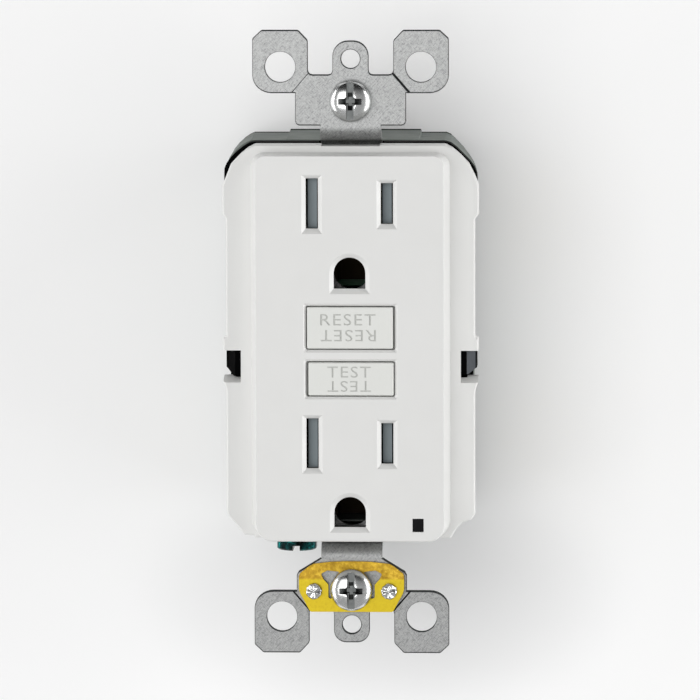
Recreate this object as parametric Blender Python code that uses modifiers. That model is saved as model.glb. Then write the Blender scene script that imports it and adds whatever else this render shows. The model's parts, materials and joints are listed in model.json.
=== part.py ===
# Duplex ground-fault (GFCI) receptacle, built as its real loose pieces.
#
# Metres, +Z up.  X runs to the right of someone facing the receptacle, the
# face looks along -Y and +Y runs into the wall.  X = 0 and Z = 0 are the
# centre of the mounting strap, and Y = 0 is the rear face of its ears, which
# is the plane that lies against the wall.  The numbers below are millimetres.

import math

import bmesh
import bpy
from mathutils import Matrix, Vector

for old in list(bpy.data.objects):
    bpy.data.objects.remove(old, do_unlink=True)

MM = 0.001

# ---------------------------------------------------------------- dimensions
GAP = 0.3                      # clearance kept between touching pieces

# depth stack along Y
FACE_Y = -7.4                  # front of the decorator face
FLANGE_Y = -3.0                # front of the flange round the face
COVER_BACK_Y = 1.3             # rear edge of the front cover
RIM_Y = 1.6                    # front edge of the middle frame's rim
HOUSING_FRONT_Y = 5.4          # front edge of the rear housing
HOUSING_BACK_Y = 25.9          # rear of the rear housing
STRAP_T = 1.3                  # strap sheet thickness
BAND_Y = 2.3                   # front of the strap where it crosses the body
FRAME_Y = (3.9, 5.1)           # middle frame plate
BUS_Y = 5.4                    # front of the bus bars and terminal plates
BOARD_Y = (15.9, 17.1)         # circuit board

# strap
EAR_X = 16.65
EAR_IN = 7.28
EAR_TOP = 53.3
EAR_LOW = 42.6
PLATE_X = 9.4
NECK_X = 5.2
BAND_X = 4.6
TAB_X = 3.05
TAB_TOP = 51.5
PLATE_HOLE_Z = 48.42           # wall plate screws, 96.84 apart
PLATE_HOLE_R = 1.6
EAR_HOLE = (11.95, 47.05, 2.6)
UP_SCREW_Z = 41.3
LOW_SCREW_Z = -42.2
BEND_Z = 36.95                 # where the strap starts to step back
BEND_R = 1.865
BEND_A = math.radians(88)

# face and flange
FACE_X = 16.7
FACE_Z = 32.7
FLANGE_X = 20.93
FLANGE_TOP = 33.87
FLANGE_BOT = -33.3
BULGE_X = 21.8
WALL = 1.8
HOUSE_X = 20.8
HOUSE_TOP = 34.0
HOUSE_BOT = -33.0
BOSS = (17.0, 28.2)            # corner screws

# openings of the face
SLOT_X = 6.35
SLOT_W = 2.05
HOT_L = 6.9
NEUTRAL_L = 8.5
OUTLET_Z = (24.3, -16.5)       # blade centres, upper and lower outlet
GROUND = ((9.86, 15.13), (-30.83, -25.69))
GROUND_W = 5.36
GROUND_IN_Z = (12.05, -28.62)  # ground contact centres behind the holes
RESET = (0.15, 3.2, 15.1, 7.5)     # centre x, z, width, height
TEST = (0.15, -5.5, 15.0, 6.05)
LED = (11.56, -30.45, 1.9, 2.3)
LATCH_Z = (-6.7, -1.1)
LATCH_X = 18.4

# terminals
TERM_Z = 19.0
TERM_Y = 12.0
SCREW8_R = 1.95
SCREW6_R = 1.65

# ------------------------------------------------------------------- helpers


def collection(name):
    c = bpy.data.collections.new(name)
    bpy.context.scene.collection.children.link(c)
    return c


PARTS = collection("gfci_outlet")
CUTS = collection("cutters")


def material(name, rgb, rough, metal=0.0):
    m = bpy.data.materials.new(name)
    m.use_nodes = True
    b = m.node_tree.nodes["Principled BSDF"]
    b.inputs["Base Color"].default_value = (*rgb, 1.0)
    b.inputs["Roughness"].default_value = rough
    b.inputs["Metallic"].default_value = metal
    m.diffuse_color = (*rgb, 1.0)
    return m


WHITE = material("white_plastic", (0.74, 0.74, 0.71), 0.35)
GREY = material("grey_plastic", (0.19, 0.215, 0.20), 0.5)
BLACK = material("black_plastic", (0.015, 0.015, 0.016), 0.45)
SHUTTER = material("shutter_plastic", (0.16, 0.20, 0.215), 0.5)
SMOKE = material("smoked_lens", (0.01, 0.01, 0.012), 0.15)
ZINC = material("galvanised_steel", (0.55, 0.56, 0.56), 0.4, 1.0)
BRIGHT = material("bright_zinc", (0.72, 0.73, 0.74), 0.22, 1.0)
BRASS = material("brass_sheet", (0.68, 0.46, 0.03), 0.32, 1.0)
COPPER = material("copper_winding", (0.55, 0.2, 0.06), 0.4, 1.0)
GREEN = material("green_screw", (0.01, 0.24, 0.21), 0.35, 0.6)
BOARD = material("board_green", (0.02, 0.13, 0.05), 0.5)
FIBRE = material("fibre_washer", (0.45, 0.28, 0.16), 0.8)
BLUE = material("blue_epoxy", (0.05, 0.12, 0.42), 0.35)
TAN = material("tan_body", (0.55, 0.42, 0.26), 0.5)


def smooth(obj, angle=35):
    obj.data.shade_smooth()
    obj.data.set_sharp_from_angle(angle=math.radians(angle))


def register(name, mesh, mat, origin, cutter=False):
    obj = bpy.data.objects.new(name, mesh)
    obj.location = Vector(origin) * MM
    (CUTS if cutter else PARTS).objects.link(obj)
    if mat is not None:
        mesh.materials.append(mat)
    if cutter:
        as_tool(obj)
    return obj


def as_tool(obj):
    obj.hide_render = True
    obj.display_type = "WIRE"
    if obj.name in PARTS.objects:
        PARTS.objects.unlink(obj)
        CUTS.objects.link(obj)
    return obj


def box(name, x0, x1, y0, y1, z0, z1, mat=None, origin=None):
    """A box between two corners, in millimetres."""
    c = Vector(((x0 + x1) / 2, (y0 + y1) / 2, (z0 + z1) / 2))
    o = c if origin is None else Vector(origin)
    bm = bmesh.new()
    bmesh.ops.create_cube(bm, size=1.0)
    for v in bm.verts:
        v.co = Vector((v.co.x * (x1 - x0), v.co.y * (y1 - y0), v.co.z * (z1 - z0)))
        v.co = (v.co + c - o) * MM
    mesh = bpy.data.meshes.new(name)
    bm.to_mesh(mesh)
    bm.free()
    return register(name, mesh, mat, o, cutter=mat is None)


AXES = {
    "X": Matrix.Rotation(math.radians(90), 4, "Y"),
    "Y": Matrix.Rotation(math.radians(-90), 4, "X"),
    "Z": Matrix.Identity(4),
}


def rod(name, axis, centre, r, a0, a1, seg=20, mat=None, r2=None):
    """A cylinder or cone along one axis, from a0 to a1 on that axis."""
    i = "XYZ".index(axis)
    o = list(centre)
    o[i] = (a0 + a1) / 2
    bm = bmesh.new()
    bmesh.ops.create_cone(bm, cap_ends=True, segments=seg, radius1=r * MM,
                          radius2=(r if r2 is None else r2) * MM,
                          depth=(a1 - a0) * MM)
    bm.transform(AXES[axis])
    mesh = bpy.data.meshes.new(name)
    bm.to_mesh(mesh)
    bm.free()
    obj = register(name, mesh, mat, o, cutter=mat is None)
    smooth(obj)
    return obj


PLANES = {
    "XZ": Matrix(((1, 0, 0, 0), (0, 0, -1, 0), (0, 1, 0, 0), (0, 0, 0, 1))),
    "YZ": Matrix(((0, 0, 1, 0), (1, 0, 0, 0), (0, 1, 0, 0), (0, 0, 0, 1))),
    "XY": Matrix.Identity(4),
}


def sheet_mesh(name, loops, plane, t0, t1):
    """Mesh of a flat outline with holes, t0 to t1 thick, in millimetres."""
    cu = bpy.data.curves.new(name + "_outline", "CURVE")
    cu.dimensions = "2D"
    cu.fill_mode = "BOTH"
    cu.extrude = (t1 - t0) / 2 * MM
    for loop in loops:
        sp = cu.splines.new("POLY")
        sp.points.add(len(loop) - 1)
        for p, (a, b) in zip(sp.points, loop):
            p.co = (a * MM, b * MM, 0.0, 1.0)
        sp.use_cyclic_u = True
    tmp = bpy.data.objects.new(name + "_curve", cu)
    CUTS.objects.link(tmp)
    m = PLANES[plane].copy()
    mid = (t0 + t1) / 2 * MM
    m.translation = {"XZ": (0, mid, 0), "YZ": (mid, 0, 0), "XY": (0, 0, mid)}[plane]
    tmp.matrix_world = m
    bpy.context.view_layer.update()
    deps = bpy.context.evaluated_depsgraph_get()
    mesh = bpy.data.meshes.new_from_object(tmp.evaluated_get(deps))
    mesh.transform(m)
    bpy.data.objects.remove(tmp, do_unlink=True)
    bm = bmesh.new()
    bm.from_mesh(mesh)
    bmesh.ops.remove_doubles(bm, verts=bm.verts, dist=1e-7)
    bmesh.ops.dissolve_limit(bm, angle_limit=math.radians(0.1), verts=bm.verts,
                             edges=bm.edges, use_dissolve_boundaries=False)
    bmesh.ops.recalc_face_normals(bm, faces=bm.faces)
    bm.to_mesh(mesh)
    bm.free()
    mesh.name = name
    mesh.materials.clear()
    return mesh


def sheet(name, loops, plane, t0, t1, mat=None, origin=(0, 0, 0)):
    mesh = sheet_mesh(name, loops, plane, t0, t1)
    mesh.transform(Matrix.Translation(-Vector(origin) * MM))
    return register(name, mesh, mat, origin, cutter=mat is None)


def turned(name, profile, origin, direction, steps, mat):
    """A turned solid: profile of (radius, height), top to bottom."""
    mesh = bpy.data.meshes.new(name)
    bm = bmesh.new()
    verts = [bm.verts.new((r * MM, 0, h * MM)) for r, h in profile]
    for a, b in zip(verts, verts[1:]):
        bm.edges.new((a, b))
    bm.to_mesh(mesh)
    bm.free()
    obj = register(name, mesh, mat, origin)
    obj.rotation_euler = {"-Y": (math.radians(90), 0, 0),
                          "+Y": (math.radians(-90), 0, 0),
                          "+X": (0, math.radians(90), 0),
                          "-X": (0, math.radians(-90), 0),
                          "-Z": (math.radians(180), 0, 0),
                          "+Z": (0, 0, 0)}[direction]
    s = obj.modifiers.new("turn", "SCREW")
    s.axis = "Z"
    s.angle = 2 * math.pi
    s.steps = steps
    s.render_steps = steps
    s.use_merge_vertices = True
    s.merge_threshold = 0.00001
    s.use_smooth_shade = False
    return obj


# outlines with several corners on one line, which the exact solver leaves open
MANY_IN_LINE = ("front_cover", "mounting_strap")


def solver(obj):
    return "MANIFOLD" if obj.name in MANY_IN_LINE else "EXACT"


def cut(obj, *tools):
    for t in tools:
        m = obj.modifiers.new("cut_" + t.name, "BOOLEAN")
        m.operation = "DIFFERENCE"
        m.solver = solver(obj)
        m.object = as_tool(t)
    return obj


def add(obj, *tools):
    for t in tools:
        m = obj.modifiers.new("add_" + t.name, "BOOLEAN")
        m.operation = "UNION"
        m.solver = solver(obj)
        m.object = as_tool(t)
    return obj


def circle(cx, cz, r, n=16, a0=0.0):
    return [(cx + r * math.cos(a0 + 2 * math.pi * i / n),
             cz + r * math.sin(a0 + 2 * math.pi * i / n)) for i in range(n)]


def rounded(x0, x1, z0, z1, r, n=3):
    pts = []
    for cx, cz, a in ((x1 - r, z1 - r, 0), (x0 + r, z1 - r, 90),
                      (x0 + r, z0 + r, 180), (x1 - r, z0 + r, 270)):
        for i in range(n + 1):
            t = math.radians(a + 90 * i / n)
            pts.append((cx + r * math.cos(t), cz + r * math.sin(t)))
    return pts


def mirrored(half):
    """Close a right-hand half outline (x > 0) with its mirror image."""
    return half + [(-x, z) for x, z in reversed(half)]


def spring(name, axis, centre, r, a0, a1, turns, wire, mat, per_turn=8):
    """A coil spring: a round wire along a helix."""
    cu = bpy.data.curves.new(name, "CURVE")
    cu.dimensions = "3D"
    cu.bevel_depth = wire / 2 * MM
    cu.bevel_resolution = 0
    cu.use_fill_caps = True
    n = int(turns * per_turn) + 1
    sp = cu.splines.new("POLY")
    sp.points.add(n - 1)
    i = "XYZ".index(axis)
    u, v = [(1, 2), (2, 0), (0, 1)][i]
    span = a1 - a0 - wire
    for k, p in enumerate(sp.points):
        t = k / (n - 1)
        ang = 2 * math.pi * k / per_turn
        co = [0.0, 0.0, 0.0]
        co[i] = (t - 0.5) * span
        co[u] = r * math.cos(ang)
        co[v] = r * math.sin(ang)
        p.co = (co[0] * MM, co[1] * MM, co[2] * MM, 1.0)
    o = list(centre)
    o[i] = (a0 + a1) / 2
    obj = bpy.data.objects.new(name, cu)
    obj.location = Vector(o) * MM
    PARTS.objects.link(obj)
    cu.materials.append(mat)
    return obj


# -------------------------------------------------------------- front cover
def flange_outline():
    right = [(16.1, FLANGE_TOP), (17.27, 33.31), (18.6, 32.2), (20.08, 30.65),
             (21.1, 28.6), (BULGE_X, 27.0), (BULGE_X, 21.65), (FLANGE_X, 21.4),
             (FLANGE_X, -29.2), (20.2, -30.4), (18.7, -31.4), (17.3, FLANGE_BOT)]
    return mirrored(right)


def bevelled_block(name, x, z0, z1, y0, y1, r, edge, mat=None):
    """Rounded block whose front rim is eased."""
    mesh = sheet_mesh(name, [rounded(-x, x, z0, z1, r)], "XZ", y0, y1)
    bm = bmesh.new()
    bm.from_mesh(mesh)
    rim = [e for e in bm.edges
           if all(abs(v.co.y - y0 * MM) < 1e-7 for v in e.verts)
           and len(e.link_faces) == 2
           and any(abs(f.normal.y) < 0.5 for f in e.link_faces)]
    bmesh.ops.bevel(bm, geom=rim, offset=edge * MM, segments=2, affect="EDGES",
                    profile=0.5)
    bm.to_mesh(mesh)
    bm.free()
    return register(name, mesh, mat, (0, 0, 0), cutter=mat is None)


front_cover = bevelled_block("front_cover", FACE_X, FLANGE_BOT + 0.1, FACE_Z, FACE_Y,
                             -2.1, 2.4, 0.9, WHITE)
add(front_cover, sheet("cover_flange", [flange_outline()], "XZ", FLANGE_Y,
                       COVER_BACK_Y, WHITE))
cut(front_cover,
    box("cover_cavity", -14.9, 14.9, FACE_Y + 2.0, 3.0, -31.5, 31.5),
    sheet("cover_skirt_cavity", [[(x * 0.912, z * 0.945) for x, z in
                                  flange_outline()]], "XZ", FLANGE_Y + WALL, 3.0))
for sx in (-1, 1):
    for sz in (-1, 1):
        add(front_cover, rod("cover_boss_%d%d" % (sx, sz), "Y",
                             (sx * BOSS[0], 0, sz * BOSS[1]), 2.5, -2.2, 1.2, 16,
                             WHITE))
for sx in (-1, 1):
    for sz in (-1, 1):
        cut(front_cover, rod("cover_pilot_%d%d" % (sx, sz), "Y",
                             (sx * BOSS[0], 0, sz * BOSS[1]), 1.55, -1.5, 2.5, 10))
    cut(front_cover, box("cover_notch_%d" % sx, *sorted((sx * LATCH_X, sx * 24)),
                         -4.5, 3, *LATCH_Z))


def slot_cutters(tag, y0, y1, grow=0.0):
    tools = []
    for k, zc in enumerate(OUTLET_Z):
        for sx, length in ((-1, NEUTRAL_L), (1, HOT_L)):
            w, h = SLOT_W / 2 + grow, length / 2 + grow
            tools.append(box("%s_%d_%d" % (tag, k, sx), sx * SLOT_X - w,
                             sx * SLOT_X + w, y0, y1, zc - h, zc + h))
    return tools


cut(front_cover, *slot_cutters("cover_slot", -9, -4))
for k, (z0, z1) in enumerate(GROUND):
    r = GROUND_W / 2
    arch = [(r, z0)] + [(r * math.cos(math.pi * i / 8),
                         z1 - r + r * math.sin(math.pi * i / 8))
                        for i in range(9)] + [(-r, z0)]
    cut(front_cover, sheet("cover_ground_%d" % k, [arch], "XZ", -9, -4))
for tag, (cx, cz, w, h) in (("reset", RESET), ("test", TEST), ("led", LED)):
    cut(front_cover, box("cover_%s_hole" % tag, cx - w / 2, cx + w / 2, -9, -4,
                         cz - h / 2, cz + h / 2))

# ------------------------------------------------------------------ buttons


def button(name, opening, stem):
    cx, cz, w, h = opening
    o = (cx, -5.0, cz)
    b = box(name, cx - w / 2 + GAP, cx + w / 2 - GAP, -7.55, -3.2 if stem else -1.2,
            cz - h / 2 + GAP, cz + h / 2 - GAP, WHITE, o)
    add(b, box(name + "_skirt", cx - 8.3, cx + 8.3, -5.1, -4.2,
               cz - h / 2 - 0.5, cz + h / 2 + 0.4, WHITE))
    return b


reset_button = button("reset_button", RESET, False)
cut(reset_button, box("reset_hollow", -6.0, 6.3, -4.6, 0, RESET[1] - 2.5,
                      RESET[1] + 2.5))
test_button = button("test_button", TEST, True)
add(test_button, rod("test_stem", "Y", (4.0, 0, TEST[1]), 1.4, -3.6, -1.2, 12,
                     WHITE))
indicator_lens = box("indicator_lens", LED[0] - 0.65, LED[0] + 0.65, -7.1, -4.3,
                     LED[1] - 0.85, LED[1] + 0.85, SMOKE)

reset_pin = turned("reset_pin", [(0, 17.5), (1.1, 17.5), (1.1, 2.0), (0.8, 1.7),
                                 (0.8, 1.0), (1.1, 0.7), (1.1, 0.4), (0.7, 0),
                                 (0, 0)], (0, 13.2, RESET[1]), "-Y", 14, BRIGHT)
reset_spring = spring("reset_spring", "Y", (0, 0, RESET[1]), 1.9, -4.3, 2.0, 4.5,
                      0.4, BRIGHT)

# -------------------------------------------------------------------- strap


def ear_half(low):
    """Right half of one end of the strap, from the neck out to the tab."""
    pts = [(NECK_X, 36.2)]
    if low:
        pts += [(NECK_X, 36.9), (PLATE_X - 0.3, 39.3), (PLATE_X, 39.9)]
    else:
        pts += [(NECK_X, 37.1), (PLATE_X - 0.6, 37.1), (PLATE_X - 0.18, 37.28),
                (PLATE_X, 37.7)]
    pts += [(PLATE_X, EAR_LOW), (13.4, EAR_LOW)]
    for i in range(1, 4):
        t = math.radians(-90 + 90 * i / 4)
        pts.append((13.4 + 3.25 * math.cos(t), 45.6 + 3.0 * math.sin(t)))
    pts += [(EAR_X, 45.6), (EAR_X, EAR_TOP - 1.4), (EAR_X - 1.55, EAR_TOP),
            (EAR_IN + 1.6, EAR_TOP), (EAR_IN, EAR_TOP - 1.75), (EAR_IN, 46.4),
            (EAR_IN - 0.25, 45.95), (EAR_IN - 0.8, 45.75), (TAB_X + 0.7, 45.75),
            (TAB_X + 0.2, 45.95), (TAB_X, 46.4), (TAB_X, TAB_TOP - 0.8),
            (TAB_X - 0.25, TAB_TOP - 0.25), (TAB_X - 0.8, TAB_TOP)]
    return pts


BEND_LO = BEND_Z - 2 * BEND_R * math.sin(BEND_A)    # where the crossing band starts


def strap_path(s):
    """Where a height of the blank lands: (z, y offset, tilt of the sheet)."""
    a = abs(s)
    if a >= BEND_Z:
        return s, 0.0, 0.0
    full = 2 * BEND_R * (1 - math.cos(BEND_A))
    if a <= BEND_LO:
        return s, full, 0.0
    arc = BEND_R * BEND_A
    d = (BEND_Z - a) / (BEND_Z - BEND_LO) * 2 * arc
    if d <= arc:
        t = d / BEND_R
        z, y = BEND_Z - BEND_R * math.sin(t), BEND_R * (1 - math.cos(t))
    else:
        t = (2 * arc - d) / BEND_R
        z, y = BEND_LO + BEND_R * math.sin(t), full - BEND_R * (1 - math.cos(t))
    return math.copysign(z, s), y, math.copysign(t, s)


def strap_mesh():
    top = ear_half(False)
    bot = [(x, -z) for x, z in ear_half(True)]
    half = list(reversed(top)) + [(NECK_X, BEND_LO + 0.4), (BAND_X, BEND_LO - 0.6),
                                  (BAND_X, 0.6 - BEND_LO),
                                  (NECK_X, -0.4 - BEND_LO)] + bot
    loops = [mirrored(half)]
    for sz in (1, -1):
        loops.append(circle(0, sz * PLATE_HOLE_Z, PLATE_HOLE_R, 16))
        for sx in (1, -1):
            loops.append(circle(sx * EAR_HOLE[0], sz * EAR_HOLE[1], EAR_HOLE[2], 20))
    for z in (UP_SCREW_Z, LOW_SCREW_Z):
        slot = [(0.9 + 1.95 * math.cos(t), z + 1.95 * math.sin(t)) for t in
                (math.radians(a) for a in range(-90, 91, 30))]
        loops.append(mirrored(slot))
    for sx in (1, -1):
        loops.append(circle(sx * 6.42, -42.5, 1.1, 10))
    loops.append(circle(0, GROUND_IN_Z[0], 3.15, 20))
    loops.append(circle(0, GROUND_IN_Z[1], 3.15, 20))
    loops.append(circle(0, RESET[1], 1.5, 12))
    mesh = sheet_mesh("mounting_strap", loops, "XZ", -STRAP_T, 0.0)
    bm = bmesh.new()
    bm.from_mesh(mesh)
    cuts = [BEND_Z - (BEND_Z - BEND_LO) * k / 10 for k in range(0, 11)]
    for s in cuts + [-c for c in cuts]:
        bmesh.ops.bisect_plane(bm, geom=bm.verts[:] + bm.edges[:] + bm.faces[:],
                               dist=1e-8, plane_co=(0, 0, s * MM),
                               plane_no=(0, 0, 1))
    # fold the flat blank along its path
    for v in bm.verts:
        s = v.co.z / MM
        t = v.co.y / MM + STRAP_T / 2
        z, y, tilt = strap_path(s)
        z += t * math.sin(tilt)
        v.co.y = (y - STRAP_T / 2 + t * math.cos(tilt)) * MM
        v.co.z = z * MM
    bmesh.ops.recalc_face_normals(bm, faces=bm.faces)
    bm.to_mesh(mesh)
    bm.free()
    return mesh


mounting_strap = register("mounting_strap", strap_mesh(), ZINC, (0, 0, 0))
add(mounting_strap, box("strap_ground_tab", -13.6, -3.9, 2.25, 14.6, -34.55,
                        -33.36, ZINC))
cut(mounting_strap, rod("strap_tab_hole", "Z", (-9.9, 10.0, 0), 2.3, -36, -32, 14))


def screw(name, origin, direction, head_r, head_h, shank_r, length, mat, seg=18):
    o = turned(name, [(0, head_h), (head_r * 0.5, head_h * 0.93),
                      (head_r * 0.84, head_h * 0.62), (head_r, head_h * 0.2),
                      (head_r, 0), (shank_r, 0), (shank_r, -length + 1.0),
                      (shank_r * 0.5, -length), (0, -length)],
               origin, direction, seg, mat)
    c = box(name + "_slot", -0.6, 0.6, -head_r - 1, head_r + 1, head_h - 0.9,
            head_h + 2, origin=(0, 0, 0))
    c.location = o.location
    c.rotation_euler = o.rotation_euler
    cut(o, c)
    return o


upper_mount_screw = screw("upper_mount_screw", (0, -STRAP_T - GAP, UP_SCREW_Z),
                          "-Y", 3.6, 2.3, SCREW6_R, 23, BRIGHT)
lower_mount_screw = screw("lower_mount_screw", (0, -2.5, LOW_SCREW_Z), "-Y", 3.6,
                          2.3, SCREW6_R, 23.9, BRIGHT)
upper_screw_retainer = sheet("upper_screw_retainer",
                             [circle(0, UP_SCREW_Z, 4.3, 16),
                              circle(0, UP_SCREW_Z, 2.0, 12)], "XZ", 0.3, 1.0,
                             FIBRE)

# self-grounding clip and its rivets
clip_outer = mirrored([(3.2, -37.5), (6.5, -37.8), (8.8, -39.4), (8.8, -42.4),
                       (7.0, -46.1)])
clip_window = [(5.0, -39.4), (2.3, -39.4), (3.0, -41.0), (3.0, -43.8),
               (3.9, -43.8), (3.9, -41.0)]
ground_clip = sheet("ground_clip",
                    [clip_outer, clip_window, [(-x, z) for x, z in clip_window],
                     circle(0, LOW_SCREW_Z, 2.0, 14), circle(6.42, -42.5, 1.15, 10),
                     circle(-6.42, -42.5, 1.15, 10)], "XZ", -2.2, -1.6, BRASS)
for side, sx in (("left", -1), ("right", 1)):
    turned("clip_rivet_" + side, [(0, 0.9), (0.8, 0.8), (1.35, 0.35), (1.35, 0),
                                  (0.8, 0), (0.8, -2.3), (0, -2.3)],
           (sx * 6.42, -2.5, -42.5), "-Y", 12, BRIGHT)

# ground screw on the strap's tab, head down
ground_screw = screw("ground_screw", (-9.9, 10.0, -34.85), "-Z", 3.75, 2.0,
                     SCREW8_R, 6.0, GREEN)

# ------------------------------------------------------------- middle frame
frame_edge = mirrored([(16.3, HOUSE_TOP - 0.1), (17.1, 33.75), (18.19, 33.2),
                       (19.4, 32.26), (20.4, 31.26), (21.05, 30.4), (21.5, 29.4),
                       (21.6, 28.4), (21.6, 22.3), (HOUSE_X - 0.1, 21.3),
                       (HOUSE_X - 0.1, -27.6), (20.2, -29.0), (18.5, -31.2),
                       (16.9, -32.6), (15.5, HOUSE_BOT + 0.1)])
middle_frame = sheet("middle_frame", [frame_edge], "XZ", RIM_Y, FRAME_Y[1], BLACK)
cut(middle_frame, sheet("frame_well", [rounded(-19.8, 19.8, -31.2, 32.2, 4.6, 4)],
                        "XZ", 0.5, FRAME_Y[0]),
    *[rod("frame_bore_%d%d" % (sx, sz), "Y", (sx * BOSS[0], 0, sz * BOSS[1]), 1.55,
          3, 6, 10) for sx in (-1, 1) for sz in (-1, 1)],
    box("frame_neck_top", -5.6, 5.6, 0.5, FRAME_Y[0], 31, 36),
    box("frame_neck_low", -5.6, 5.6, 0.5, FRAME_Y[0], -35, -30))
for sx in (-1, 1):
    x0, x1 = sorted((sx * 18.7, sx * 21.4))
    add(middle_frame, box("frame_latch_%d" % sx, x0, x1, -2.6, FRAME_Y[1] - 0.1,
                          -5.6, -1.4, BLACK))
cut(middle_frame, *slot_cutters("frame_slot", 3, 6, 0.9))
for k, z in enumerate(GROUND_IN_Z):
    cut(middle_frame, box("frame_ground_%d" % k, -4.75, 4.75, 3, 6, z - 2.8, z + 2.8))
cut(middle_frame, rod("frame_pin_hole", "Y", (0, 0, RESET[1]), 1.7, 3, 6, 12),
    box("frame_led_notch", 9.6, 13.5, 3, 6, -31.0, -29.2))

# ------------------------------------------------------------- rear housing
house = mirrored([(16.2, HOUSE_TOP), (17.6, 33.75), (18.8, 33.2), (19.9, 32.3),
                  (20.9, 31.2), (21.5, 29.9), (21.7, 28.5), (21.7, 22.2),
                  (HOUSE_X, 21.2), (HOUSE_X, -27.6), (20.3, -29.0), (18.6, -31.3),
                  (17.0, -32.7), (15.6, HOUSE_BOT)])
rear_housing = sheet("rear_housing", [house], "XZ", HOUSING_FRONT_Y,
                     HOUSING_BACK_Y, GREY)
add(rear_housing, box("house_top_pad", -11.3, 11.3, 5.5, 20.5, 32.8, 34.8, GREY))
cut(rear_housing, sheet("house_cavity", [rounded(-19.8, 19.8, -31.2, 32.2, 4.6, 4)],
                        "XZ", 4.5, HOUSING_BACK_Y - 2.0))
for sx in (-1, 1):
    for sz in (-1, 1):
        add(rear_housing, rod("house_post_%d%d" % (sx, sz), "Y",
                              (sx * BOSS[0], 0, sz * BOSS[1]), 2.8, 5.6, 25.4, 16,
                              GREY))
for sx in (-1, 1):
    for sz in (-1, 1):
        bx, bz = sx * BOSS[0], sz * BOSS[1]
        cut(rear_housing,
            rod("house_bore_%d%d" % (sx, sz), "Y", (bx, 0, bz), 1.55, 0, 27, 10),
            rod("house_counterbore_%d%d" % (sx, sz), "Y", (bx, 0, bz), 2.6, 24.1,
                27, 16),
            box("house_window_%d%d" % (sx, sz), *sorted((sx * 18.5, sx * 23)),
                6.6, 18.9, sz * TERM_Z - 5.6, sz * TERM_Z + 5.6))
        for dz in (-3.5, 3.5):
            cut(rear_housing, rod("wire_hole_%d%d_%d" % (sx, sz, dz), "Y",
                                  (sx * 16.1, 0, sz * TERM_Z + dz), 1.6, 22, 27, 12))
cut(rear_housing,
    rod("house_ground_bore", "Z", (-9.9, 10.0, 0), 2.5, -35, -30, 14))

for i, (sx, sz) in enumerate(((-1, 1), (1, 1), (-1, -1), (1, -1))):
    name = "housing_screw_" + ("upper_left", "upper_right", "lower_left",
                               "lower_right")[i]
    turned(name, [(0, 1.2), (2.4, 1.0), (2.4, 0), (1.2, 0), (1.2, -24.6),
                  (0.5, -25.6), (0, -25.6)],
           (sx * BOSS[0], 24.4, sz * BOSS[1]), "+Y", 12, BRIGHT)

# ------------------------------------------------------------- bus bars


def bus(name, sx):
    o = (0, 0, 0)

    def b(tag, x0, x1, y0, y1, z0, z1, mat=BRASS):
        return box(name + tag, *sorted((sx * x0, sx * x1)), y0, y1, z0, z1, mat)
    bar = b("", 4.5, 10.6, BUS_Y - 0.05, 6.15, -20.9, 28.9)
    for k, zc in enumerate(OUTLET_Z):
        for d in (-1.2, 1.2):
            add(bar, b("_leaf_%d_%d" % (k, d * 10), SLOT_X + d - 0.3,
                       SLOT_X + d + 0.3, 5.8, 14.4, zc - 3.8, zc + 3.8))
        cut(bar, b("_pass_%d" % k, SLOT_X - 0.85, SLOT_X + 0.85, 5, 7, zc - 4.5,
                   zc + 4.5, None))
    ell = [(9.9, BUS_Y), (18.7, BUS_Y), (18.7, 18.6), (17.6, 18.6), (17.6, 6.4),
           (9.9, 6.4)]
    add(bar, sheet(name + "_load_plate", [[(sx * x, y) for x, y in ell]], "XY",
                   TERM_Z - 5.2, TERM_Z + 5.2, BRASS))
    add(bar, rod(name + "_contact", "Y", (sx * 8.5, 0, 5.0), 1.1, 5.9, 6.9, 12,
                 BRASS))
    cut(bar, rod(name + "_bore", "X", (0, TERM_Y, TERM_Z), 2.3,
                 *sorted((sx * 16, sx * 20)), 14))
    return bar


hot_bus = bus("hot_bus", 1)
neutral_bus = bus("neutral_bus", -1)


def line_terminal(name, sx):
    ell = [(11.5, BUS_Y), (18.7, BUS_Y), (18.7, 18.6), (17.6, 18.6), (17.6, 6.4),
           (11.5, 6.4)]
    t = sheet(name, [[(sx * x, y) for x, y in ell]], "XY", -TERM_Z - 5.2,
              -TERM_Z + 5.2, BRASS)
    add(t, box(name + "_leg", *sorted((sx * 11.7, sx * 12.5)), 5.9, 15.5, -24.0,
               -21.6, BRASS))
    cut(t, rod(name + "_bore", "X", (0, TERM_Y, -TERM_Z), 2.3,
               *sorted((sx * 16, sx * 20)), 14))
    return t


line_terminal("line_hot_terminal", 1)
line_terminal("line_neutral_terminal", -1)

for end, zc in (("load", TERM_Z), ("line", -TERM_Z)):
    for pole, sx, mat in (("hot", 1, BRASS), ("neutral", -1, BRIGHT)):
        screw("%s_%s_screw" % (end, pole), (sx * 19.0, TERM_Y, zc),
              "+X" if sx > 0 else "-X", 3.8, 1.9, SCREW8_R, 6.4, mat, 16)
        plate = box("%s_%s_clamp" % (end, pole), *sorted((sx * 13.2, sx * 14.6)),
                    8.0, 18.2, zc - 4.8, zc + 4.8, BRIGHT)
        cut(plate, rod("%s_%s_clamp_bore" % (end, pole), "X", (0, TERM_Y, zc),
                       2.25, *sorted((sx * 12, sx * 16)), 14))

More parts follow.
